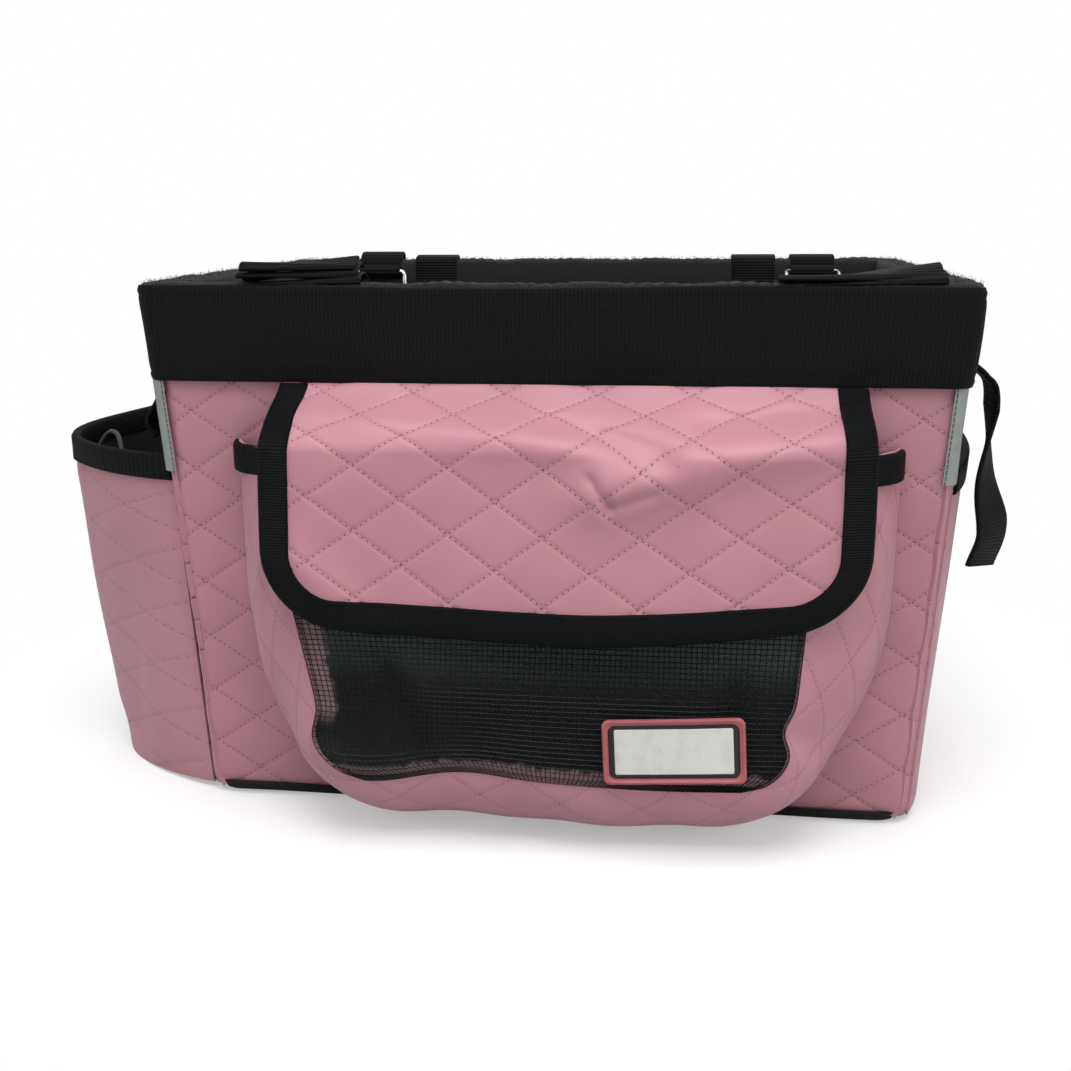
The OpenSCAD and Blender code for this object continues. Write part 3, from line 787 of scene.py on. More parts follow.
class BASKET_OT_base(bpy.types.Operator):
    """Black base cloth, rounded at its edge"""
    bl_idname = "basket.base"
    bl_label = "Base"

    def execute(self, context):
        _, hi = BASE
        corner = 14 * MM

        def place(u, v):
            x, y = 2 * u - 1, 2 * v - 1
            w, d = hi.x + 1.5 * MM, hi.y + 1.5 * MM
            a, b = x * w, y * d
            ax, by = np.maximum(np.abs(a) - (w - corner), 0), np.maximum(np.abs(b) - (d - corner), 0)
            far = np.maximum(np.hypot(ax, by), 1e-9)
            pull = np.where((ax > 0) & (by > 0), np.maximum(ax, by) / far, 1)
            a = np.sign(a) * np.where((ax > 0) & (by > 0), w - corner + ax * pull, np.abs(a))
            b = np.sign(b) * np.where((ax > 0) & (by > 0), d - corner + by * pull, np.abs(b))
            edge = np.maximum(np.abs(x), np.abs(y))
            lift = 4.5 * MM * np.maximum(0, (edge - 0.965) / 0.035) ** 2
            sag = 0.25 * MM * (np.sin(a * 60) * np.sin(b * 70) + 1)
            return np.stack([a, b, 0.1 * MM + lift + sag], 1), np.stack([a, b], 1)

        piece = drape("base_cloth", 120, 90, place)
        thicken(piece, 1.6 * MM, 1)
        smooth(edit(piece, face_outwards), 60)
        done(piece, "basket", "black_cloth", plain_weave(), "base_panel")
        return {"FINISHED"}


class BASKET_OT_lining(bpy.types.Operator):
    """Black lining inside the walls and over the floor"""
    bl_idname = "basket.lining"
    bl_label = "Lining"

    def execute(self, context):
        parts = []
        depth = WALL_T - 0.4 * MM
        walls = ((FRONT, half_wide), (BACK, half_wide), (LEFT, half_deep), (RIGHT, half_deep))
        for i, (wall, half) in enumerate(walls):
            def place(u, v):
                s = 6.3 * MM + (HEIGHT - 7.8 * MM) * v
                reach = half(s) - depth
                a = (2 * u - 1) * reach
                soft = 0.5 * MM * np.sin(a * 38 + i) * np.sin(s * 45 + 2 * i) \
                    + 0.3 * MM * np.sin(a * 91) * np.sin(s * 70)
                fade = np.minimum(1, np.minimum(u, 1 - u) * 16)
                return wall.at(a, s, -depth - (0.6 * MM + soft) * fade), np.stack([a, s], 1)

            parts.append(drape(f"lining_{i}", 70, 50, place))

        def floor(u, v):
            a, b = (2 * u - 1) * (half_wide(6 * MM) - depth), (2 * v - 1) * (half_deep(6 * MM) - depth)
            return np.stack([a, b, 6.3 * MM + 0 * a], 1), np.stack([a, b], 1)

        parts.append(drape("lining_floor", 40, 30, floor))
        deselect()
        for part in parts:
            part.select_set(True)
        bpy.context.view_layer.objects.active = parts[0]
        bpy.ops.object.join()
        piece = named("lining_cloth")
        edit(piece, lambda: bpy.ops.mesh.remove_doubles(threshold=0.3 * MM), face_outwards)
        thicken(piece, 0.5 * MM, 0)
        smooth(piece, 50)
        done(piece, "basket", "black_cloth", plain_weave(), "lining")
        return {"FINISHED"}


# ---------------------------------------------------------------- rim


def rim_place(share, z, out):
    """A place round the body at a height; share runs once round, from the back's middle."""
    r = BODY_CORNER + out
    hx, hy = half_wide(z) + out, half_deep(z) + out
    straight_x, straight_y, turn = 2 * (hx - r), 2 * (hy - r), np.pi * r / 2
    total = 2 * (straight_x + straight_y) + 4 * turn
    d = (share % 1) * total
    x, y = np.zeros_like(d), np.zeros_like(d)
    legs = [((0, 1), (1, 0)), ((1, 0), (0, -1)), ((0, -1), (-1, 0)), ((-1, 0), (0, 1))]
    d = (d + straight_x / 2) % total
    begin = np.zeros_like(d)
    for face, ahead in legs:
        run = straight_x if face[0] == 0 else straight_y
        inner_x, inner_y = hx - r, hy - r
        on = (d >= begin) & (d < begin + run)
        k = d - begin
        cx = face[0] * hx - ahead[0] * inner_x
        cy = face[1] * hy - ahead[1] * inner_y
        x = np.where(on, cx + ahead[0] * k, x)
        y = np.where(on, cy + ahead[1] * k, y)
        begin = begin + run
        on = (d >= begin) & (d < begin + turn + 1e-9)
        angle = (d - begin) / r
        mx = face[0] * inner_x + ahead[0] * inner_x
        my = face[1] * inner_y + ahead[1] * inner_y
        x = np.where(on, mx + r * (face[0] * np.cos(angle) + ahead[0] * np.sin(angle)), x)
        y = np.where(on, my + r * (face[1] * np.cos(angle) + ahead[1] * np.sin(angle)), y)
        begin = begin + turn
    return np.stack([x, y, z + 0 * x], 1), total


class BASKET_OT_rim(bpy.types.Operator):
    """Ribbed webbing band and the napped tape over the rim"""
    bl_idname = "basket.rim"
    bl_label = "Rim"

    def execute(self, context):
        low, high = BAND[0].z, HEIGHT + 0.2 * MM

        def band(u, v):
            z = low + (high - low) * v
            wave = 0.5 * MM * np.sin(u * 2 * np.pi * 9) * np.sin(v * 3) \
                + 0.35 * MM * np.sin(u * 2 * np.pi * 23 + 2 * v)
            roll = 0.9 * MM * np.maximum(0, (v - 0.93) / 0.07) ** 2 \
                + 0.5 * MM * np.maximum(0, (0.05 - v) / 0.05) ** 2
            dent = 0.45 * MM * np.exp(-((v - 0.1) / 0.03) ** 2) + 0.45 * MM * np.exp(-((v - 0.9) / 0.03) ** 2)
            out = BAND_T + 0.3 * MM + wave - roll - dent
            z = z + 0.7 * MM * np.sin(u * 2 * np.pi * 5 + 1) * (v > 0.5)
            new, total = rim_place(u, z, out)
            return new, np.stack([u * np.mean(total), z], 1)

        piece = drape("rim_webbing", 480, 22, band)
        edit(piece, weld, face_outwards)
        thicken(piece, 1.3 * MM, 1)
        smooth(edit(piece, face_outwards), 60)
        done(piece, "basket", "black_webbing", ribbed("rim_webbing", settings()[0].rib), "rim_band")

        profile = [(BAND_T + 0.2 * MM, -0.2 * MM), (BAND_T - 0.1 * MM, 1.2 * MM), (0.2 * MM, 2.0 * MM),
                   (-2 * MM, 2.2 * MM),
                   (-5 * MM, 2.1 * MM), (-8.2 * MM, 1.4 * MM), (-9.3 * MM, -0.6 * MM), (-9.2 * MM, -12 * MM),
                   (-9.2 * MM, -25 * MM), (-7.6 * MM, -25 * MM), (-7.5 * MM, -12 * MM), (-7.4 * MM, -1 * MM)]

        def tape(u, across, out):
            rough = 0.35 * MM * np.sin(u * 1234.5) + 0.5 * MM * np.sin(u * 187.3 + 2) * np.sin(u * 61)
            z = HEIGHT + out + np.where(out > 0, rough, 0)
            new, total = rim_place(u, z, across)
            return new, u * np.mean(total)

        piece = sweep("rim_tape", 420, profile, tape, closed=True)
        smooth(piece, 60)
        done(piece, "basket", "loop_tape", fuzzy(), "rim_loop_tape")
        piece = fibres("rim_nap", 3400, 31, rim_root)
        done(piece, "basket", "loop_tape", fuzzy())
        return {"FINISHED"}


def rim_root(rng, count):
    """Roots and directions of fibres on the rim's edge."""
    share = rng.random(count)
    across = BAND_T - rng.random(count) * 9.5 * MM
    high = HEIGHT + 1.3 * MM + 0.5 * MM * rng.random(count)
    root = np.zeros((count, 3))
    for k in range(count):
        root[k] = rim_place(share[k:k + 1], np.array([high[k]]), across[k])[0][0]
    way = unit(np.stack([rng.normal(0, 0.6, count), rng.normal(0, 0.6, count), 0.5 + rng.random(count)], 1))
    return root, way


def fibres(name, count, seed, roots, length=2.6 * MM, thick=0.09 * MM):
    """A nap of short bent fibres, each of three thin sides."""
    rng = np.random.default_rng(seed)
    root, way = roots(rng, count)
    long = length * (0.35 + 0.65 * rng.random(count))[:, None]
    bend = unit(np.cross(way, rng.normal(0, 1, (count, 3))))
    side = unit(np.cross(way, bend))
    rings = []
    for t, w in ((0.0, 1.0), (0.5, 0.9), (1.0, 0.35)):
        mid = root + way * long * t + bend * long * 0.55 * t * t
        for k in range(3):
            a = 2 * math.pi * k / 3
            rings.append(mid + thick * w * (math.cos(a) * side + math.sin(a) * bend))
    corners = np.stack(rings, 1).reshape(-1, 3)
    faces = []
    for level in (0, 3):
        for k in range(3):
            faces.append((level + k, level + (k + 1) % 3, level + 3 + (k + 1) % 3, level + 3 + k))
    caps = [(0, 2, 1), (6, 7, 8)]
    all_faces = [tuple(9 * i + c for c in f) for i in range(count) for f in faces + caps]
    mesh = bpy.data.meshes.new(name)
    mesh.from_pydata(corners.tolist(), [], all_faces)
    piece = bpy.data.objects.new(name, mesh)
    bpy.context.collection.objects.link(piece)
    return smooth(edit(piece, face_outwards), 80)


# ---------------------------------------------------------------- front pocket


def bowl(half, top, foot, corner, count):
    """The outline of a pocket, down its left, along its foot and up its right, with elliptic corners."""
    angle = np.linspace(0, np.pi / 2, 24)
    x = half - corner[0] + corner[0] * np.cos(angle)
    y = foot + corner[1] - corner[1] * np.sin(angle)
    right = np.stack([x, y], 1)
    left = right * (-1, 1)
    path = np.concatenate([[(-half, top)], left, right[::-1], [(half, top)]])
    return resample(path, count)


def from_pocket(x, y, z):
    """From the pocket's leaning front face, as (along the wall, up the wall, out of the wall)."""
    s = MESH_FOOT + y * math.cos(SLOPE) + z * math.sin(SLOPE)
    out = POCKET_DEPTH - y * math.sin(SLOPE) + z * math.cos(SLOPE)
    return POCKET_X + x, s, out


FACE_LEN = (POCKET_TOP - MESH_FOOT) / math.cos(SLOPE)


def belly(x, y):
    """How far the mesh stands out of the pocket's flat front."""
    slump = hump(x, y, -0.088, 0.006, -0.055, 0.002, 15 * MM, 5.5 * MM)
    full = 3.0 * MM * np.exp(-((x - 0.01) / 0.075) ** 2 - ((y - 0.032) / 0.024) ** 2)
    fold = hump(x, y, -0.05, 0.040, 0.06, 0.037, 6 * MM, 1.4 * MM)
    crease = hump(x, y, -0.072, 0.06, -0.05, 0.008, 6 * MM, -2.4 * MM)
    right = hump(x, y, 0.078, 0.075, 0.07, 0.02, 7 * MM, -1.8 * MM)
    under_flap = np.clip((0.058 - y) / 0.016, 0, 1)
    return (slump + full + fold + crease + right) * under_flap ** 2 * (3 - 2 * under_flap)


def edge_sag(x):
    """The mesh's foot hangs lower in some places."""
    return -3.5 * MM * np.exp(-((x + 0.075) / 0.02) ** 2) - 2.0 * MM * np.exp(-((x - 0.04) / 0.05) ** 2) \
        + 2.5 * MM * np.exp(-((x + 0.035) / 0.02) ** 2)


def mesh_half(y):
    """Half the mesh's width at a height, narrower in its lower corners."""
    drop = np.clip(1 - y / MESH_CORNER, 0, 1)
    return MESH_HALF - MESH_CORNER * (1 - np.sqrt(np.maximum(1 - drop ** 2, 0)))


def mesh_skew(x, y):
    """The mesh widens upwards, slumps out at its lower left and is pinched in at its right."""
    left = np.clip(1 - (MESH_HALF + x) / 0.05, 0, 1)
    right = np.clip(1 - (MESH_HALF - x) / 0.03, 0, 1)
    widen = 9.5 * MM * np.clip((y - 0.026) / 0.04, 0, 1.2) * np.clip((FACE_LEN - y) / 0.05, 0, 1)
    slump = 3.5 * MM * np.exp(-((y - 0.012) / 0.011) ** 2)
    pinch = 3.5 * MM * np.exp(-((y - 0.024) / 0.007) ** 2)
    return -left * (widen + slump) + right * (0.35 * widen - pinch)


def mesh_place(x, y, lift=0.0):
    sag = edge_sag(x) * np.clip(1 - y / 0.03, 0, 1)
    fade = np.clip(y / 0.012, 0, 1) * np.clip((MESH_HALF - np.abs(x)) / 0.012, 0, 1)
    return FRONT.at(*from_pocket(x + mesh_skew(x, y), y + sag, 0.4 * MM + lift + belly(x, y) * fade))


def mesh_sheet(name, cell, top, lift=0.0, inset=0.0):
    columns, rows = round(2 * MESH_HALF / cell), round(top / cell)

    def place(u, v):
        y = top * v
        x = (2 * u - 1) * (mesh_half(y) - inset)
        return mesh_place(x, y, lift), np.stack([x, y], 1)

    return drape(name, columns, rows, place)


class BASKET_OT_mesh(bpy.types.Operator):
    """Mesh of the front pocket and the layer behind it"""
    bl_idname = "basket.mesh"
    bl_label = "Pocket Mesh"

    def execute(self, context):
        sizes = settings()[0]
        top = FACE_LEN - 6 * MM
        piece = mesh_sheet("pocket_mesh_wires", sizes.cell, top)
        apply(piece, "WIREFRAME", thickness=sizes.wire, use_even_offset=False, use_relative_offset=False,
              use_boundary=True, use_replace=True)
        smooth(piece, 30)
        done(piece, "basket", "black_mesh", mesh_wire(), "pocket_mesh")
        piece = mesh_sheet("pocket_mesh_backing", 3 * MM, top, -2.6 * MM, 0.5 * MM)
        thicken(piece, 0.5 * MM)
        smooth(edit(piece, face_outwards), 60)
        done(piece, "basket", "black_mesh", mesh_backing())
        return {"FINISHED"}


def gusset_line(count):
    """Matching points on the pocket's seam with the body and on the mesh's edge."""
    seam, along = bowl(POCKET_HALF, POCKET_TOP, POCKET_FOOT, POCKET_CORNER, count)
    face, _ = bowl(MESH_HALF, FACE_LEN, 0, (MESH_CORNER, MESH_CORNER), count)
    return seam, face, along


class BASKET_OT_gusset(bpy.types.Operator):
    """Pink side and foot of the front pocket"""
    bl_idname = "basket.gusset"
    bl_label = "Pocket Gusset"

    def execute(self, context):
        columns = 220
        seam, face, along = gusset_line(columns + 1)
        total = along[-1]

        def place(u, v):
            i = np.rint(u * columns).astype(int)
            x0, y0 = seam[i].T
            x1, y1 = face[i].T
            sag = edge_sag(x1) * np.clip(1 - y1 / 0.03, 0, 1)
            a1, s1, out1 = from_pocket(x1 + mesh_skew(x1, y1), y1 + sag, 0)
            a0, s0 = POCKET_X + x0, y0
            low = np.exp(-((s0 - POCKET_FOOT) / 0.03) ** 2)
            a_mid = a0 + (a1 - a0) * 0.16
            s_mid = s0 + (s1 - s0) * 0.1 - 7 * MM * low
            out_mid = out1 * (0.72 + 0.2 * low)
            w0, w1, w2 = (1 - v) ** 2, 2 * v * (1 - v), v ** 2
            bends = ((a0, a_mid, a1), (s0, s_mid, s1), (0, out_mid, out1))
            a, s, out = (w0 * p + w1 * q + w2 * r for p, q, r in bends)
            d = along[i]
            mid = np.sin(np.pi * v)
            crumple = 1.6 * MM * np.sin(d * 55 + 1.5 * np.sin(d * 17)) * mid \
                + 0.9 * MM * np.sin(d * 130 + v * 4) * mid
            left = hump(d, v * 0.06, 0.02, 0.045, 0.12, 0.02, 7 * MM, 3.0 * MM)
            right = hump(d, v * 0.06, total - 0.03, 0.02, total - 0.13, 0.03, 8 * MM, 3.0 * MM)
            out = out + crumple + left + right
            s = np.maximum(s, 1.2 * MM - 0.3 * MM * v)
            width = 0.062 * v
            return FRONT.at(a, s, np.maximum(out, 0.4 * MM)), np.stack([d, width], 1)

        piece = drape("pocket_gusset_cloth", columns, 44, place)
        thicken(piece, 1.4 * MM)
        smooth(edit(piece, face_outwards), 60)
        done(piece, "basket", "pink_vinyl", pink_cloth(True, 0.5), "pocket_gusset")
        return {"FINISHED"}


def pocket_mouth(count=120):
    """The plan of the pocket's mouth, as (along the wall, out of the wall)."""
    x0, x1, deep = POCKET_HALF, MESH_HALF, MOUTH_DEPTH
    right = [(x1 * 0.2, deep + 1.5 * MM), (x1 * 0.85, deep), (x1 + 8 * MM, deep * 0.93),
             (x0 - 9 * MM, deep * 0.5),
             (x0 - 2 * MM, 7 * MM), (x0 - 0.5 * MM, 2.2 * MM)]
    left = [(-x, y) for x, y in right[::-1]]
    path, along = curve(left + right, count)
    return path + (POCKET_X, 0), along


class BASKET_OT_mouth(bpy.types.Operator):
    """Binding round the front pocket's mouth"""
    bl_idname = "basket.mouth"
    bl_label = "Pocket Binding"

    def execute(self, context):
        path, along = pocket_mouth()

        def middle(a, b):
            x = np.interp(a, along, path[:, 0])
            out = np.interp(a, along, path[:, 1])
            share = np.clip(out / MOUTH_DEPTH, 0, 1)
            return FRONT.at(x, POCKET_TOP - b, out + b * math.tan(SLOPE) * share)

        def surface(a, b):
            return middle(a, b), -normals(middle, a, b)

        edge = [(d, 0.0) for d in along]
        piece = bound("pocket_mouth_binding", surface, edge, lambda e: np.tile((0.0, 1.0), (len(e), 1)),
                      thickness=3.4 * MM)
        smooth(piece, 50)
        done(piece, "basket", "black_binding", ribbed("pocket_binding", 1.15 * MM), "pocket_binding")
        return {"FINISHED"}


class BASKET_OT_label(bpy.types.Operator):
    """Blank rubber label with a raised frame"""
    bl_idname = "basket.label"
    bl_label = "Label"

    def execute(self, context):
        lo, hi = LABEL
        w, h = (hi.x - lo.x) / 2, (hi.z - lo.z) / 2
        cx = (lo.x + hi.x) / 2 - POCKET_X
        cy = ((lo.z + hi.z) / 2 - MESH_FOOT) / math.cos(SLOPE) + 1.5 * MM
        tilt = math.radians(3)

        def on_label(x, y, z):
            """A place on the label; it lies on the mesh and bends with it a little."""
            px = cx + x * math.cos(tilt) - y * math.sin(tilt)
            py = cy + x * math.sin(tilt) + y * math.cos(tilt)
            base = FRONT.at(*from_pocket(px, py, 3.2 * MM + 0.35 * belly(px, py) + z))
            return base

        def outline(u, inset, r):
            half_w, half_h = w - inset, h - inset
            corner = np.linspace(0, np.pi / 2, 9)
            path = []
            for k, (sx, sy) in enumerate(((1, 1), (-1, 1), (-1, -1), (1, -1))):
                a = corner + k * np.pi / 2
                path += list(zip(sx * (half_w - r) + r * np.cos(a), sy * (half_h - r) + r * np.sin(a)))
            path.append(path[0])
            return resample(path, 161)[0][np.rint(u * 160).astype(int)]

        ring = [(0, 0.0), (-0.1 * MM, 0.8 * MM), (0.3 * MM, 1.45 * MM), (0.9 * MM, 1.65 * MM),
                (1.5 * MM, 1.4 * MM),
                (1.75 * MM, 1.0 * MM), (2.3 * MM, 1.0 * MM), (2.35 * MM, 0.0)]

        def frame_place(u, across, out):
            new = np.zeros((len(u), 3))
            for depth in np.unique(across):
                pick = across == depth
                flat = outline(u[pick], depth, 3.0 * MM)
                new[pick] = on_label(flat[:, 0], flat[:, 1], out[pick])
            return new, u * 2 * (w + h)

        piece = sweep("label_frame_rubber", 160, ring, frame_place, closed=True)
        smooth(piece, 40)
        done(piece, "basket", "label_rubber", rubber("label_rubber", (0.38, 0.095, 0.105)), "label_frame")

        def plate(inset, r, high):
            def place(u, v):
                rim = outline(u, inset, r)
                flat = rim * v[:, None]
                return on_label(flat[:, 0], flat[:, 1], high * np.clip((1 - v) * 60, 0.2, 1)), flat
            return place

        for name, inset, r, high, material in (
                ("label_border", 2.0 * MM, 1.2 * MM, 0.75 * MM,
                 rubber("label_border", (0.008, 0.008, 0.009))),
                ("label_plate", 3.6 * MM, 0.5 * MM, 1.0 * MM, rubber("label_plate", (0.62, 0.61, 0.57)))):
            piece = drape(name, 160, 14, plate(inset, r, high))
            edit(piece, weld, face_outwards)
            smooth(piece, 40)
            if name == "label_plate":
                done(piece, "basket", "label_face", material, "label_face")
            else:
                done(piece, "basket", "label_face", material)
        return {"FINISHED"}


# ---------------------------------------------------------------- flap


def flap_line():
    """The hanging flap's middle line, from its seam to past its foot, as (out, up)."""
    def face(y):
        _, s, out = from_pocket(0, y, FLAP_HANG)
        return out, s
    out1, s1 = face(FACE_LEN)
    t = np.linspace(0, 1, 40)
    ease = t ** 0.85
    ease = ease * ease * (3 - 2 * ease)
    upper = np.stack([1.9 * MM + (out1 - 1.9 * MM) * ease, FLAP_SEAM + (s1 - FLAP_SEAM) * t], 1)
    lower = np.array([face(FACE_LEN - d) for d in np.linspace(2 * MM, FACE_LEN, 60)])
    return resample(np.concatenate([upper, lower]), 400)


FLAP_PATH, FLAP_ALONG = flap_line()
FLAP_DROP = float(np.interp(-(HEIGHT - 130 * MM), -FLAP_PATH[:, 1], FLAP_ALONG))


def flap_crease(x, d):
    """Soft folds of the flap, from the seam at d = 0 down."""
    fade = np.clip(d / 0.012, 0, 1)
    roll = hump(x, d, -0.105, 0.018, 0.0, 0.030, 9 * MM, 4.0 * MM)
    wedge = hump(x, d, -0.002, 0.024, 0.037, 0.037, 6 * MM, -4.2 * MM)
    ridge = hump(x, d, 0.022, 0.050, 0.105, 0.026, 11 * MM, 5.8 * MM)
    dimple = hump(x, d, 0.013, 0.047, 0.019, 0.055, 2.4 * MM, -2.0 * MM) \
        + hump(x, d, 0.021, 0.056, 0.036, 0.051, 2.4 * MM, -1.6 * MM)
    valley = hump(x, d, 0.060, 0.022, 0.111, 0.013, 6 * MM, -3.4 * MM)
    lower = 1.6 * MM * np.sin(x * 42 + 0.6) * np.clip(d / FLAP_DROP, 0, 1) ** 2
    belly_out = 2.2 * MM * np.exp(-(x / 0.07) ** 2 - ((d - 0.09) / 0.03) ** 2)
    corner = hump(x, d, -0.10, 0.085, -0.075, 0.105, 8 * MM, 2.0 * MM)
    return fade * (roll + wedge + ridge + dimple + valley + lower + belly_out + corner)


def flap_foot(x):
    """The lower edge hangs a little lower in the middle and higher at the right."""
    return 5.5 * MM * (1 - (x / FLAP_HALF) ** 2) - 4.5 * MM * np.clip(x / FLAP_HALF, 0, 1) ** 1.5


def flap_middle(x, d):
    """The flap's middle surface at a place across it and down it."""
    stretch = 1 + flap_foot(x) / FLAP_DROP * np.clip(d / FLAP_DROP, 0, 1.2)
    out = np.interp(d * stretch, FLAP_ALONG, FLAP_PATH[:, 0])
    s = np.interp(d * stretch, FLAP_ALONG, FLAP_PATH[:, 1])
    waist = 1 + 0.012 * np.sin(np.pi * np.clip(d / FLAP_DROP, 0, 1))
    return FRONT.at(FLAP_X + x * waist, s, out + flap_crease(x, d))


def flap_surface(x, d):
    return flap_middle(x, d), -normals(flap_middle, x, d)


def flap_half(d, inset=0.0):
    """Half the flap's width at a distance down it."""
    r, foot = FLAP_CORNER - inset, FLAP_DROP - inset
    drop = np.clip((d - (foot - r)) / r, 0, 1)
    return FLAP_HALF - inset - r * (1 - np.sqrt(np.maximum(1 - drop ** 2, 0)))


class BASKET_OT_flap(bpy.types.Operator):
    """Quilted flap and its binding"""
    bl_idname = "basket.flap"
    bl_label = "Flap"

    def execute(self, context):
        inset = 1.0 * MM

        def place(u, v):
            d = (FLAP_DROP - inset) * v
            x = (2 * u - 1) * flap_half(d, inset)
            middle, normal = flap_surface(x, d)
            out = quilt(x + 6 * MM, d + 8 * MM) * np.clip((FLAP_HALF - np.abs(x)) / 0.02, 0, 1) + 0.5 * MM
            return middle + normal * out[:, None], np.stack([x + 6 * MM, d + 8 * MM], 1)

        piece = drape("flap_cloth", 190, 100, place)
        thicken(piece, 2.0 * MM, 1)
        edit(piece, face_outwards)
        smooth(piece, 60)
        done(piece, None, "pink_vinyl", pink_cloth(), "flap_panel")
        self.bend(piece)

        angle = np.linspace(0, np.pi / 2, 30)
        r = FLAP_CORNER
        round_x = FLAP_HALF - r + r * np.cos(angle)
        round_d = FLAP_DROP - r + r * np.sin(angle)
        right = np.stack([round_x, round_d], 1)
        left = right * (-1, 1)
        outline = np.concatenate([[(-FLAP_HALF, 0.6 * MM)], left, right[::-1], [(FLAP_HALF, 0.6 * MM)]])

        def inward(edge):
            ahead = unit(np.gradient(edge, axis=0))
            return np.stack([ahead[:, 1], -ahead[:, 0]], 1)

        piece = bound("flap_edge_binding", flap_surface, outline, inward, thickness=4.6 * MM, count=300)
        smooth(piece, 50)
        done(piece, None, "black_binding", ribbed("flap_binding", 1.15 * MM), "flap_binding")
        self.bend(piece)
        return {"FINISHED"}

    def bend(self, piece):
        """Bakes the flap piece's placement into its points."""
        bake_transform(piece)


# ---------------------------------------------------------------- bottle pockets

BOTTLE_FRONT = BASE[1].y - PANEL_T - 1 * MM
BOTTLE_BACK = BOTTLE_FRONT - BOTTLE_W


def bottle_plan(t, bulge):
    """How far a bottle pocket stands out at a share of its width."""
    return bulge * np.sin(np.pi * np.clip(t, 0, 1) ** 1.5) ** 0.8


def bottle_middle(side):
    wall, bulge = (LEFT if side == "left" else RIGHT), BOTTLE_BULGE[side]
    full = bulge / BOTTLE_BULGE["left"]

    def middle(d, b):
        """d runs along the mouth from the back seam, and b down from it."""
        t = np.clip(d / BOTTLE_W, 0, 1)
        u = BOTTLE_BACK + BOTTLE_W * t
        top = BOTTLE_MOUTH + (BOTTLE_FRONT - u) * BOTTLE_TILT
        s = top - b
        share = FOOT_SHARE + (1 - FOOT_SHARE) * np.clip(s / top, 0, 1)
        out = bottle_plan(t, bulge * share)
        lip = np.clip(1 - b / 0.03, 0, 1) * full
        slump = -4 * MM * lip * np.sin(np.pi * t) ** 2 * np.clip(1.4 - 2 * t, 0, 1)
        crease = full * (hump(d, b, 0.125, 0.02, 0.118, 0.13, 9 * MM, 3 * MM)
                         + hump(d, b, 0.148, 0.05, 0.14, 0.14, 7 * MM, -2.5 * MM)
                         + hump(d, b, 0.06, 0.03, 0.09, 0.12, 12 * MM, -3 * MM)
                         + 1.2 * MM * np.sin(d * 90 + b * 25) * np.sin(b * 38))
        edge = np.clip(np.minimum(t, 1 - t) * 12, 0, 1)
        return wall.at(u, s + slump * edge, np.maximum(out + crease * edge, 0.8 * MM) + 0.3 * MM)

    return middle


def outward_sign(side):
    return -1 if side == "left" else 1


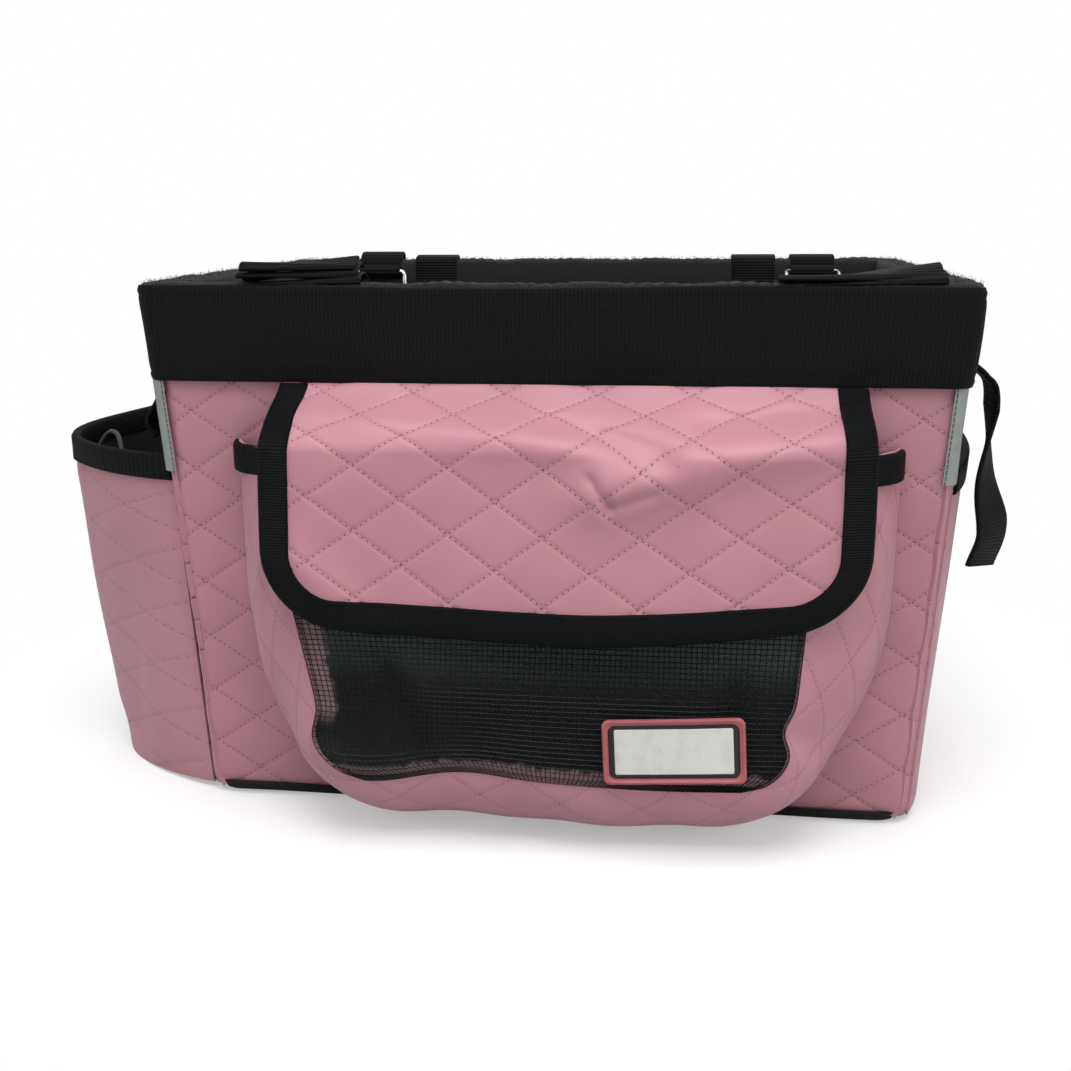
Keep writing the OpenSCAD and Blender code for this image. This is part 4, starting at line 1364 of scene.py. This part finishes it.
class BASKET_OT_bottle_pockets(bpy.types.Operator):
    """Bottle pockets on both sides, with bound mouths and a black inside"""
    bl_idname = "basket.bottle_pockets"
    bl_label = "Bottle Pockets"

    def execute(self, context):
        for side in ("left", "right"):
            middle = bottle_middle(side)
            sign = outward_sign(side)

            def surface(d, b, middle=middle, sign=sign):
                return middle(d, b), sign * normals(middle, d, b)

            def place(u, v, middle=middle, offset=0.0, sign=sign, side=side):
                d = BOTTLE_W * u
                top = BOTTLE_MOUTH + BOTTLE_W * (1 - u) * BOTTLE_TILT
                tuck = np.clip((v - 0.96) / 0.04, 0, 1)
                b = 1.5 * MM + (top - BOTTLE_FOOT - 1.5 * MM) * np.minimum(v / 0.96, 1)
                new = middle(d, b)
                wall = LEFT if side == "left" else RIGHT
                inner = wall.at(BOTTLE_BACK + d, np.full_like(d, BOTTLE_FOOT), 0.6 * MM)
                new = new + (inner - new) * tuck[:, None] * 0.97
                if offset:
                    new = new + offset * sign * normals(middle, d, np.clip(b, 1 * MM, top - 12 * MM))
                return new, np.stack([d, b + tuck * 0.04], 1)

            piece = drape(f"{side}_bottle_cloth", 140, 100, place)
            thicken(piece, 1.2 * MM, 0)
            smooth(edit(piece, face_outwards), 60)
            done(piece, "basket", "pink_vinyl", pink_cloth(True, 0.4), f"{side}_bottle_pocket")
            piece = drape(f"{side}_bottle_lining", 110, 70,
                          lambda u, v: place(0.02 + 0.96 * u, v * 0.93, offset=-1.7 * MM))
            thicken(piece, 0.5 * MM)
            smooth(edit(piece, face_outwards), 60)
            done(piece, "basket", "black_cloth", plain_weave())

            def behind(u, v, side=side):
                wall = LEFT if side == "left" else RIGHT
                d = BOTTLE_W * (0.01 + 0.98 * u)
                top = BOTTLE_MOUTH + (BOTTLE_W - d) * BOTTLE_TILT \
                    + 14 * MM * np.sin(np.pi * u) ** 0.5 * (0.3 + u)
                s = 5 * MM + (top - 5 * MM) * v
                soft = 0.3 * MM * np.sin(d * 120) * np.sin(s * 60)
                return wall.at(BOTTLE_BACK + d, s, 1.5 * MM + soft), np.stack([d, s], 1)

            piece = drape(f"{side}_bottle_back", 60, 50, behind)
            thicken(piece, 0.5 * MM, 0)
            smooth(edit(piece, face_outwards), 60)
            done(piece, "basket", "black_cloth", plain_weave())

            edge = [(d, 0.0) for d in np.linspace(0.5 * MM, BOTTLE_W - 0.2 * MM, 120)]
            piece = bound(f"{side}_bottle_binding", surface, edge, lambda e: np.tile((0.0, 1.0), (len(e), 1)),
                          width=11.5 * MM, thickness=4.4 * MM, count=200)
            smooth(piece, 50)
            done(piece, "basket", "black_binding", ribbed("pocket_binding", 1.15 * MM),
                 f"{side}_pocket_binding")
        self.reflectors()
        self.drawcord()
        return {"FINISHED"}

    def reflectors(self):
        """Grey strips that wrap the front corners above the bottle pockets."""
        for side, sign in (("left", -1), ("right", 1)):
            low, high = BOTTLE_MOUTH - 6 * MM, HEIGHT - BAND_H + 1.5 * MM

            def place(u, v, sign=sign):
                z = low + (high - low) * v
                wide = 4.5 * MM + 5.5 * MM * v
                a = half_wide(z) - 4.8 * MM + np.minimum(u * 2, 1) * 5.2 * MM
                back = np.maximum(u * 2 - 1, 0) * wide
                y = -half_deep(z) - 0.9 * MM + 2.2 * MM * np.minimum(u * 2, 1) ** 2 + back
                bow = 1.5 * MM * np.maximum(u * 2 - 1, 0)
                return np.stack([sign * (a + bow), y, z], 1), np.stack([u * 14 * MM, z], 1)

            piece = drape(f"{side}_reflector", 16, 24, place)
            thicken(piece, 0.5 * MM, 0)
            smooth(edit(piece, face_outwards), 60)
            done(piece, "basket", "reflective_tape", reflective(), f"{side}_reflective_strip")

    def drawcord(self):
        """The elastic cord that stands up in the left pocket's mouth."""
        route = [(92, -6, 34), (91, -2, 34), (89, 2, 35), (86, 5, 37), (82, 6, 40), (78, 6, 44), (75, 4, 48),
                 (73.5, 0, 52), (72.5, -6, 56)]
        knots = [LEFT.at(u * MM, BOTTLE_MOUTH + s * MM, out * MM) for u, s, out in route]
        path, along = curve(knots, 61)
        ahead = unit(np.gradient(path, axis=0))
        side = unit(np.cross(ahead, (0.3, 0.1, 1.0)))
        over = unit(np.cross(ahead, side))
        angle = np.linspace(0, 2 * np.pi, 10, endpoint=False)
        profile = [(1.1 * MM * math.cos(k), 1.1 * MM * math.sin(k)) for k in angle]

        def place(u, across, out):
            i = np.rint(u * 60).astype(int)
            return path[i] + across[:, None] * side[i] + out[:, None] * over[i], along[i]

        piece = sweep("left_pocket_elastic", 60, profile, place)
        smooth(piece, 60)
        done(piece, "basket", "cord", braid(), "left_pocket_cord")


# ---------------------------------------------------------------- straps and rings


def on_wall(wall, a, knots):
    """Knots given as (up, out) on a wall, at a place along it."""
    return [wall.at(a, s, out) for s, out in knots]


class BASKET_OT_straps(bpy.types.Operator):
    """Side straps, handlebar straps and ring tabs"""
    bl_idname = "basket.straps"
    bl_label = "Straps"

    def execute(self, context):
        webbing = ribbed("strap_webbing", 1.5 * MM)
        top = HEIGHT - 26 * MM
        x0 = BAND_T + 1.3 * MM
        for side, wall, stand, drop in (("left", LEFT, 4 * MM, 40 * MM), ("right", RIGHT, 14 * MM, 92 * MM)):
            lo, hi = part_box(f"{side}_side_strap")
            a = -(lo.y + hi.y) / 2
            knots = [(top, x0), (top - 3 * MM, x0 + 0.3 * MM), (top - 9 * MM, x0 + 0.6 * stand),
                     (top - 18 * MM, x0 + stand),
                     (top - drop * 0.58, x0 + stand + 2 * MM), (top - drop * 0.82, x0 + stand + 8 * MM),
                     (top - drop, x0 + stand + 5 * MM)]
            curl = (lambda t: 0.8 * np.clip((t - 0.3) / 0.5, 0, 1)) if side == "right" else None
            path = on_wall(wall, a, knots)
            piece = strap(f"{side}_strap_webbing", path, (0, 1, 0), STRAP_W, STRAP_T, 70, curl)
            smooth(piece, 50)
            done(piece, f"{side}_strap", "black_webbing", webbing, f"{side}_side_strap")
        over = HEIGHT + 2.9 * MM
        outer, inner = BAND_T + 1.1 * MM, -WALL_T - TAPE_T - 1.1 * MM
        for side in ("left", "right"):
            lo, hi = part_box(f"{side}_handlebar_strap")
            a = -(lo.x + hi.x) / 2
            r, s, out = 17 * MM, HEIGHT + 0.12 * MM - 24 * MM, outer + 17 * MM
            ring = [(s - r * math.sin(k), out - r * math.cos(k)) for k in np.radians(np.arange(0, 361, 30))]
            knots = [(over - 100 * MM, outer), (over - 60 * MM, outer), (over - 30 * MM, outer),
                     (over - 6 * MM, outer),
                     (over - 1 * MM, outer - 1.5 * MM), (over + 0.6 * MM, 0), (over + 0.4 * MM, -4 * MM),
                     (over - 1 * MM, inner + 1 * MM), (over - 5 * MM, inner), (over - 20 * MM, inner)]
            path = on_wall(BACK, a, knots)
            piece = strap(f"{side}_handlebar_webbing", path, (1, 0, 0), STRAP_W, STRAP_T, 90)
            smooth(piece, 50)
            done(piece, "basket", "black_webbing", webbing, f"{side}_handlebar_strap")
            piece = strap(f"{side}_handlebar_loop", on_wall(BACK, a, ring), (1, 0, 0), STRAP_W, STRAP_T, 72)
            smooth(piece, 50)
            done(piece, "basket", "black_webbing", webbing)
            lo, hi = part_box(f"{side}_ring_tab")
            a = -(lo.x + hi.x) / 2
            lift = 2.2 * MM if side == "left" else 0.6 * MM
            knots = [(over - 55 * MM, outer), (over - 25 * MM, outer), (over - 6 * MM, outer),
                     (over - 0.5 * MM, outer - 1 * MM), (over + lift, 1 * MM), (over + lift, -4 * MM),
                     (over - 1 * MM, inner + 1 * MM), (over - 5 * MM, inner),
                     (over - 8 * MM, inner - 0.4 * MM)]
            piece = strap(f"{side}_tab_webbing", on_wall(BACK, a, knots), (1, 0, 0), STRAP_W, STRAP_T, 70)
            smooth(piece, 50)
            done(piece, "basket", "black_webbing", webbing, f"{side}_ring_tab")
            self.ring(side, webbing)
        self.front_tabs(webbing)
        return {"FINISHED"}

    def ring(self, side, webbing):
        """A rounded ring of wire and the sleeve that it turns in."""
        joint = next(j for j in frame["joints"] if j["name"] == f"{side}_ring_swing")
        pivot = np.array(joint["pos_m"], float)
        dip = math.radians({"left": 80, "right": 15}[side])
        reach, half, wire, r = 15 * MM, 14.5 * MM, 1.5 * MM, 3 * MM
        down = np.array((0, -math.cos(dip), -math.sin(dip)))
        wide = np.array((1.0, 0, 0))
        high = np.cross(wide, down)
        corner = np.linspace(0, np.pi / 2, 7)
        path = []
        for k, (sx, sy) in enumerate(((1, 1), (-1, 1), (-1, -1), (1, -1))):
            turn = corner + k * np.pi / 2
            path += list(zip(sx * (half - r) + r * np.cos(turn),
                             reach / 2 + sy * (reach / 2 - r) + r * np.sin(turn)))
        path = np.array(path + path[:1])
        flat, along = resample(path, 121)
        ahead = unit(np.roll(flat[:-1], -1, 0) - np.roll(flat[:-1], 1, 0))
        ahead = np.vstack([ahead, ahead[:1]])
        angle = np.linspace(0, 2 * np.pi, 14, endpoint=False)
        profile = [(wire * math.cos(k), wire * math.sin(k)) for k in angle]

        def place(u, across, out):
            i = np.rint(u * 120).astype(int)
            off = np.stack([ahead[i, 1], -ahead[i, 0]], 1) * across[:, None]
            x, y = (flat[i] + off).T
            return pivot + x[:, None] * wide + y[:, None] * down + out[:, None] * high, along[i]

        piece = sweep(f"{side}_ring_wire", 120, profile, place, closed=True)
        smooth(piece, 60)
        done(piece, f"{side}_ring", "ring_metal", metal(), f"{side}_ring")
        sleeve = 2.75 * MM
        turn = np.radians(np.arange(0, 361, 30) + 90)
        knots = [pivot + sleeve * np.array((0, math.cos(k), math.sin(k))) for k in turn]
        piece = strap(f"{side}_ring_sleeve", knots, (1, 0, 0), STRAP_W - 1 * MM, 1.7 * MM, 48)
        smooth(piece, 50)
        done(piece, "basket", "black_webbing", webbing)

    def front_tabs(self, webbing):
        """Folded webbing that lies over the front rim."""
        for side, layers in (("left", 3), ("right", 2)):
            lo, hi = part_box(f"{side}_front_tab")
            deep, high = hi.y - lo.y, hi.z - lo.z
            x, w = (lo.x + hi.x) / 2, hi.x - lo.x
            parts = []
            for k in range(layers):
                z = lo.z + 1.0 * MM + k * (high - 2.0 * MM) / max(layers - 1, 1)
                rise = 1.2 * MM * k
                y0, y1 = lo.y + 0.5 * MM * k, hi.y - 1.5 * MM * k
                knots = [(x, y1, z), (x, y0 + deep * 0.5, z + rise * 0.5), (x, y0 + 1 * MM, z + rise * 0.3),
                         (x, y0 - 0.6 * MM, z - 1.2 * MM)]
                wave = (lambda t, k=k: 0.10 * np.sin(3 * t + k))
                part = strap(f"{side}_tab_layer_{k}", knots, (1, 0, 0.02 * (k + 1)), w - 3 * MM * k, 1.5 * MM,
                             30, wave)
                parts.append(part)
            deselect()
            for part in parts:
                part.select_set(True)
            bpy.context.view_layer.objects.active = parts[0]
            bpy.ops.object.join()
            piece = smooth(named(f"{side}_front_webbing"), 50)
            done(piece, "basket", "black_webbing", webbing, f"{side}_front_tab")


# ---------------------------------------------------------------- hidden construction and floor pad


class BASKET_OT_hidden(bpy.types.Operator):
    """Finishes of the construction that stays as it is"""
    bl_idname = "basket.hidden"
    bl_label = "Boards and Closure"

    def execute(self, context):
        for node, piece in frame["nodes"].items():
            if "stiffener" in node or "board" in node:
                piece.data.materials.clear()
                piece.data.materials.append(board())
            elif node.endswith("_strip") and "reflective" not in node:
                piece.data.materials.clear()
                piece.data.materials.append(fuzzy())
        return {"FINISHED"}


class BASKET_OT_pad(bpy.types.Operator):
    """Loose stuffed floor pad"""
    bl_idname = "basket.pad"
    bl_label = "Floor Pad"

    def execute(self, context):
        lo, hi = PAD
        centre = (lo + hi) / 2
        shape = hi - lo
        deselect()
        bpy.ops.mesh.primitive_cube_add(size=1, location=centre)
        piece = named("floor_pad_cushion")
        piece.scale = (shape.x - 10 * MM, shape.y - 10 * MM, shape.z - 7 * MM)
        bpy.ops.object.transform_apply(location=True, rotation=True, scale=True)
        apply(piece, "BEVEL", width=5 * MM, segments=3)
        apply(piece, "REMESH", mode="VOXEL", voxel_size=6 * MM)
        before = points(piece)
        cloth = piece.modifiers.new("Cloth", "CLOTH")
        cloth.settings.use_pressure = True
        cloth.settings.uniform_pressure_force = 4
        cloth.settings.effector_weights.gravity = 0
        for step in range(1, 21):
            bpy.context.scene.frame_set(step)
        choose(piece)
        bpy.ops.object.modifier_apply(modifier=cloth.name)
        moved = points(piece) - before
        far = np.linalg.norm(moved, axis=1, keepdims=True)
        move(piece, before + moved * np.minimum(1, 6 * MM / np.maximum(far, 1e-9)))
        bpy.context.scene.frame_set(1)
        co = points(piece)
        x, y = co[:, 0] - centre.x, co[:, 1] - centre.y
        top = np.clip((co[:, 2] - centre.z) / (shape.z / 2), 0, 1)
        tuft = sum(np.exp(-((x - tx) ** 2 + (y - ty) ** 2) / (14 * MM) ** 2)
                   for tx in (-0.09, 0, 0.09) for ty in (-0.06, 0.06))
        co[:, 2] -= 4 * MM * tuft * top
        co[:, 2] = np.maximum(co[:, 2], lo.z + 0.1 * MM)
        move(piece, co)
        apply(piece, "SUBSURF", levels=1, render_levels=1)
        write_map(piece, points(piece)[:, :2])
        smooth(piece, 70)
        done(piece, "floor_pad", "black_cloth", plain_weave("pad_cloth", 0.8), "floor_pad")
        return {"FINISHED"}


# ---------------------------------------------------------------- stage


def look(location, yaw, pitch, roll):
    """The turn of a camera that looks along +Y when all its angles are 0, as a matrix with its place."""
    yaw, pitch, roll = (math.radians(a) for a in (yaw, pitch, roll))
    ahead = Vector((math.sin(yaw) * math.cos(pitch), math.cos(yaw) * math.cos(pitch), -math.sin(pitch)))
    right = Vector((math.cos(yaw), -math.sin(yaw), 0))
    up = right.cross(ahead)
    r = right * math.cos(roll) + up * math.sin(roll)
    u = up * math.cos(roll) - right * math.sin(roll)
    turn = Matrix((r, u, -ahead)).transposed().to_4x4()
    return Matrix.Translation(location) @ turn


def plain_white(name, shade, near, far):
    """A pale floor that takes the shadow near the basket and is seen as white farther off."""
    g = Graph(name)
    x, y, *_ = g.place()
    off = (x * x + y * y) ** 0.5
    camera = g.add("ShaderNodeLightPath").out("Is Camera Ray")
    g.feed(g.surface.inputs["Base Color"], g.mix(camera, (0.55, 0.55, 0.55), (shade, shade, shade)))
    glow = g.add("ShaderNodeEmission").out(0)
    both = g.add("ShaderNodeMixShader", None, (off.step(near, far) * 0.65 + 0.35) * camera)
    g.tree.links.new(g.surface.outputs[0], both.node.inputs[1])
    g.tree.links.new(glow.socket, both.node.inputs[2])
    g.tree.links.new(both.node.outputs[0], g.tree.nodes["Material Output"].inputs[0])
    g.surface.inputs["Roughness"].default_value = 0.9
    g.surface.inputs["Specular IOR Level"].default_value = 0.0
    return g.material


class BASKET_OT_stage(bpy.types.Operator):
    """Pale floor, soft light and the camera"""
    bl_idname = "basket.stage"
    bl_label = "Stage"

    def execute(self, context):
        scene = context.scene
        scene.view_settings.view_transform = "Standard"
        deselect()
        bpy.ops.mesh.primitive_plane_add(size=60, location=(0, 0, -0.2 * MM))
        floor = named("floor")
        floor.data.materials.append(plain_white("floor", 0.95, 0.2, 0.36))
        world = bpy.data.worlds.new("world")
        world.use_nodes = True
        scene.world = world
        tree = world.node_tree
        light = tree.nodes["Background"]
        light.inputs[0].default_value = (0.97, 0.985, 1.0, 1)
        light.inputs[1].default_value = 0.42
        white = tree.nodes.new("ShaderNodeBackground")
        white.inputs[1].default_value = 1.0
        white.inputs[0].default_value = (1, 1, 1, 1)
        path = tree.nodes.new("ShaderNodeLightPath")
        pick = tree.nodes.new("ShaderNodeMixShader")
        tree.links.new(path.outputs["Is Camera Ray"], pick.inputs[0])
        tree.links.new(light.outputs[0], pick.inputs[1])
        tree.links.new(white.outputs[0], pick.inputs[2])
        tree.links.new(pick.outputs[0], tree.nodes["World Output"].inputs[0])
        lamps = (("above", (0.05, -0.50, 1.35), 17.5, 1.0), ("left", (-1.3, -0.9, 0.8), 3.8, 1.2),
                 ("right", (1.3, -1.0, 0.7), 7.2, 1.2), ("behind", (0.1, 1.2, 1.2), 6.0, 1.2))
        for name, place, power, wide in lamps:
            deselect()
            bpy.ops.object.light_add(type="AREA", location=place)
            lamp = bpy.context.object
            lamp.name = "light_" + name
            lamp.data.energy, lamp.data.size = power, wide
            lamp.rotation_mode = "QUATERNION"
            lamp.rotation_quaternion = (Vector((0, 0, 0.12)) - Vector(place)).to_track_quat("-Z", "Y")
        deselect()
        bpy.ops.object.camera_add()
        camera = bpy.context.object
        camera.name = "camera"
        camera.matrix_world = look(Vector((0.0611, -0.6506, 0.2622)), -7.087, 14.239, -0.361)
        camera.data.sensor_width = 36
        camera.data.lens = 43.67
        camera.data.clip_start = 0.01
        scene.camera = camera
        return {"FINISHED"}


# ---------------------------------------------------------------- panel and running

OPERATORS = (BASKET_OT_stage, BASKET_OT_walls, BASKET_OT_base, BASKET_OT_lining, BASKET_OT_rim,
             BASKET_OT_mesh,
             BASKET_OT_gusset, BASKET_OT_mouth, BASKET_OT_label, BASKET_OT_flap, BASKET_OT_bottle_pockets,
             BASKET_OT_straps, BASKET_OT_hidden, BASKET_OT_pad)


class BASKET_PT_panel(bpy.types.Panel):
    """Lists the basket's pieces and settings"""
    bl_idname = "BASKET_PT_panel"
    bl_label = "Pet Basket"
    bl_space_type = "VIEW_3D"
    bl_region_type = "UI"
    bl_category = "Pet Basket"

    def draw(self, context):
        for group in (context.scene.basket_sizes, context.scene.basket_colours):
            for key in group.bl_rna.properties.keys():
                if key not in ("rna_type", "name"):
                    self.layout.prop(group, key)
        for operator in OPERATORS:
            self.layout.operator(operator.bl_idname)


CLASSES = (BasketSizes, BasketColours, *OPERATORS, BASKET_PT_panel)


def register():
    for kind in CLASSES:
        bpy.utils.register_class(kind)
    bpy.types.Scene.basket_sizes = bpy.props.PointerProperty(type=BasketSizes)
    bpy.types.Scene.basket_colours = bpy.props.PointerProperty(type=BasketColours)


def unregister():
    del bpy.types.Scene.basket_colours
    del bpy.types.Scene.basket_sizes
    for kind in reversed(CLASSES):
        bpy.utils.unregister_class(kind)


def main():
    register()
    for operator in OPERATORS:
        group, name = operator.bl_idname.split(".")
        getattr(getattr(bpy.ops, group), name)()


if __name__ == "__main__":
    main()
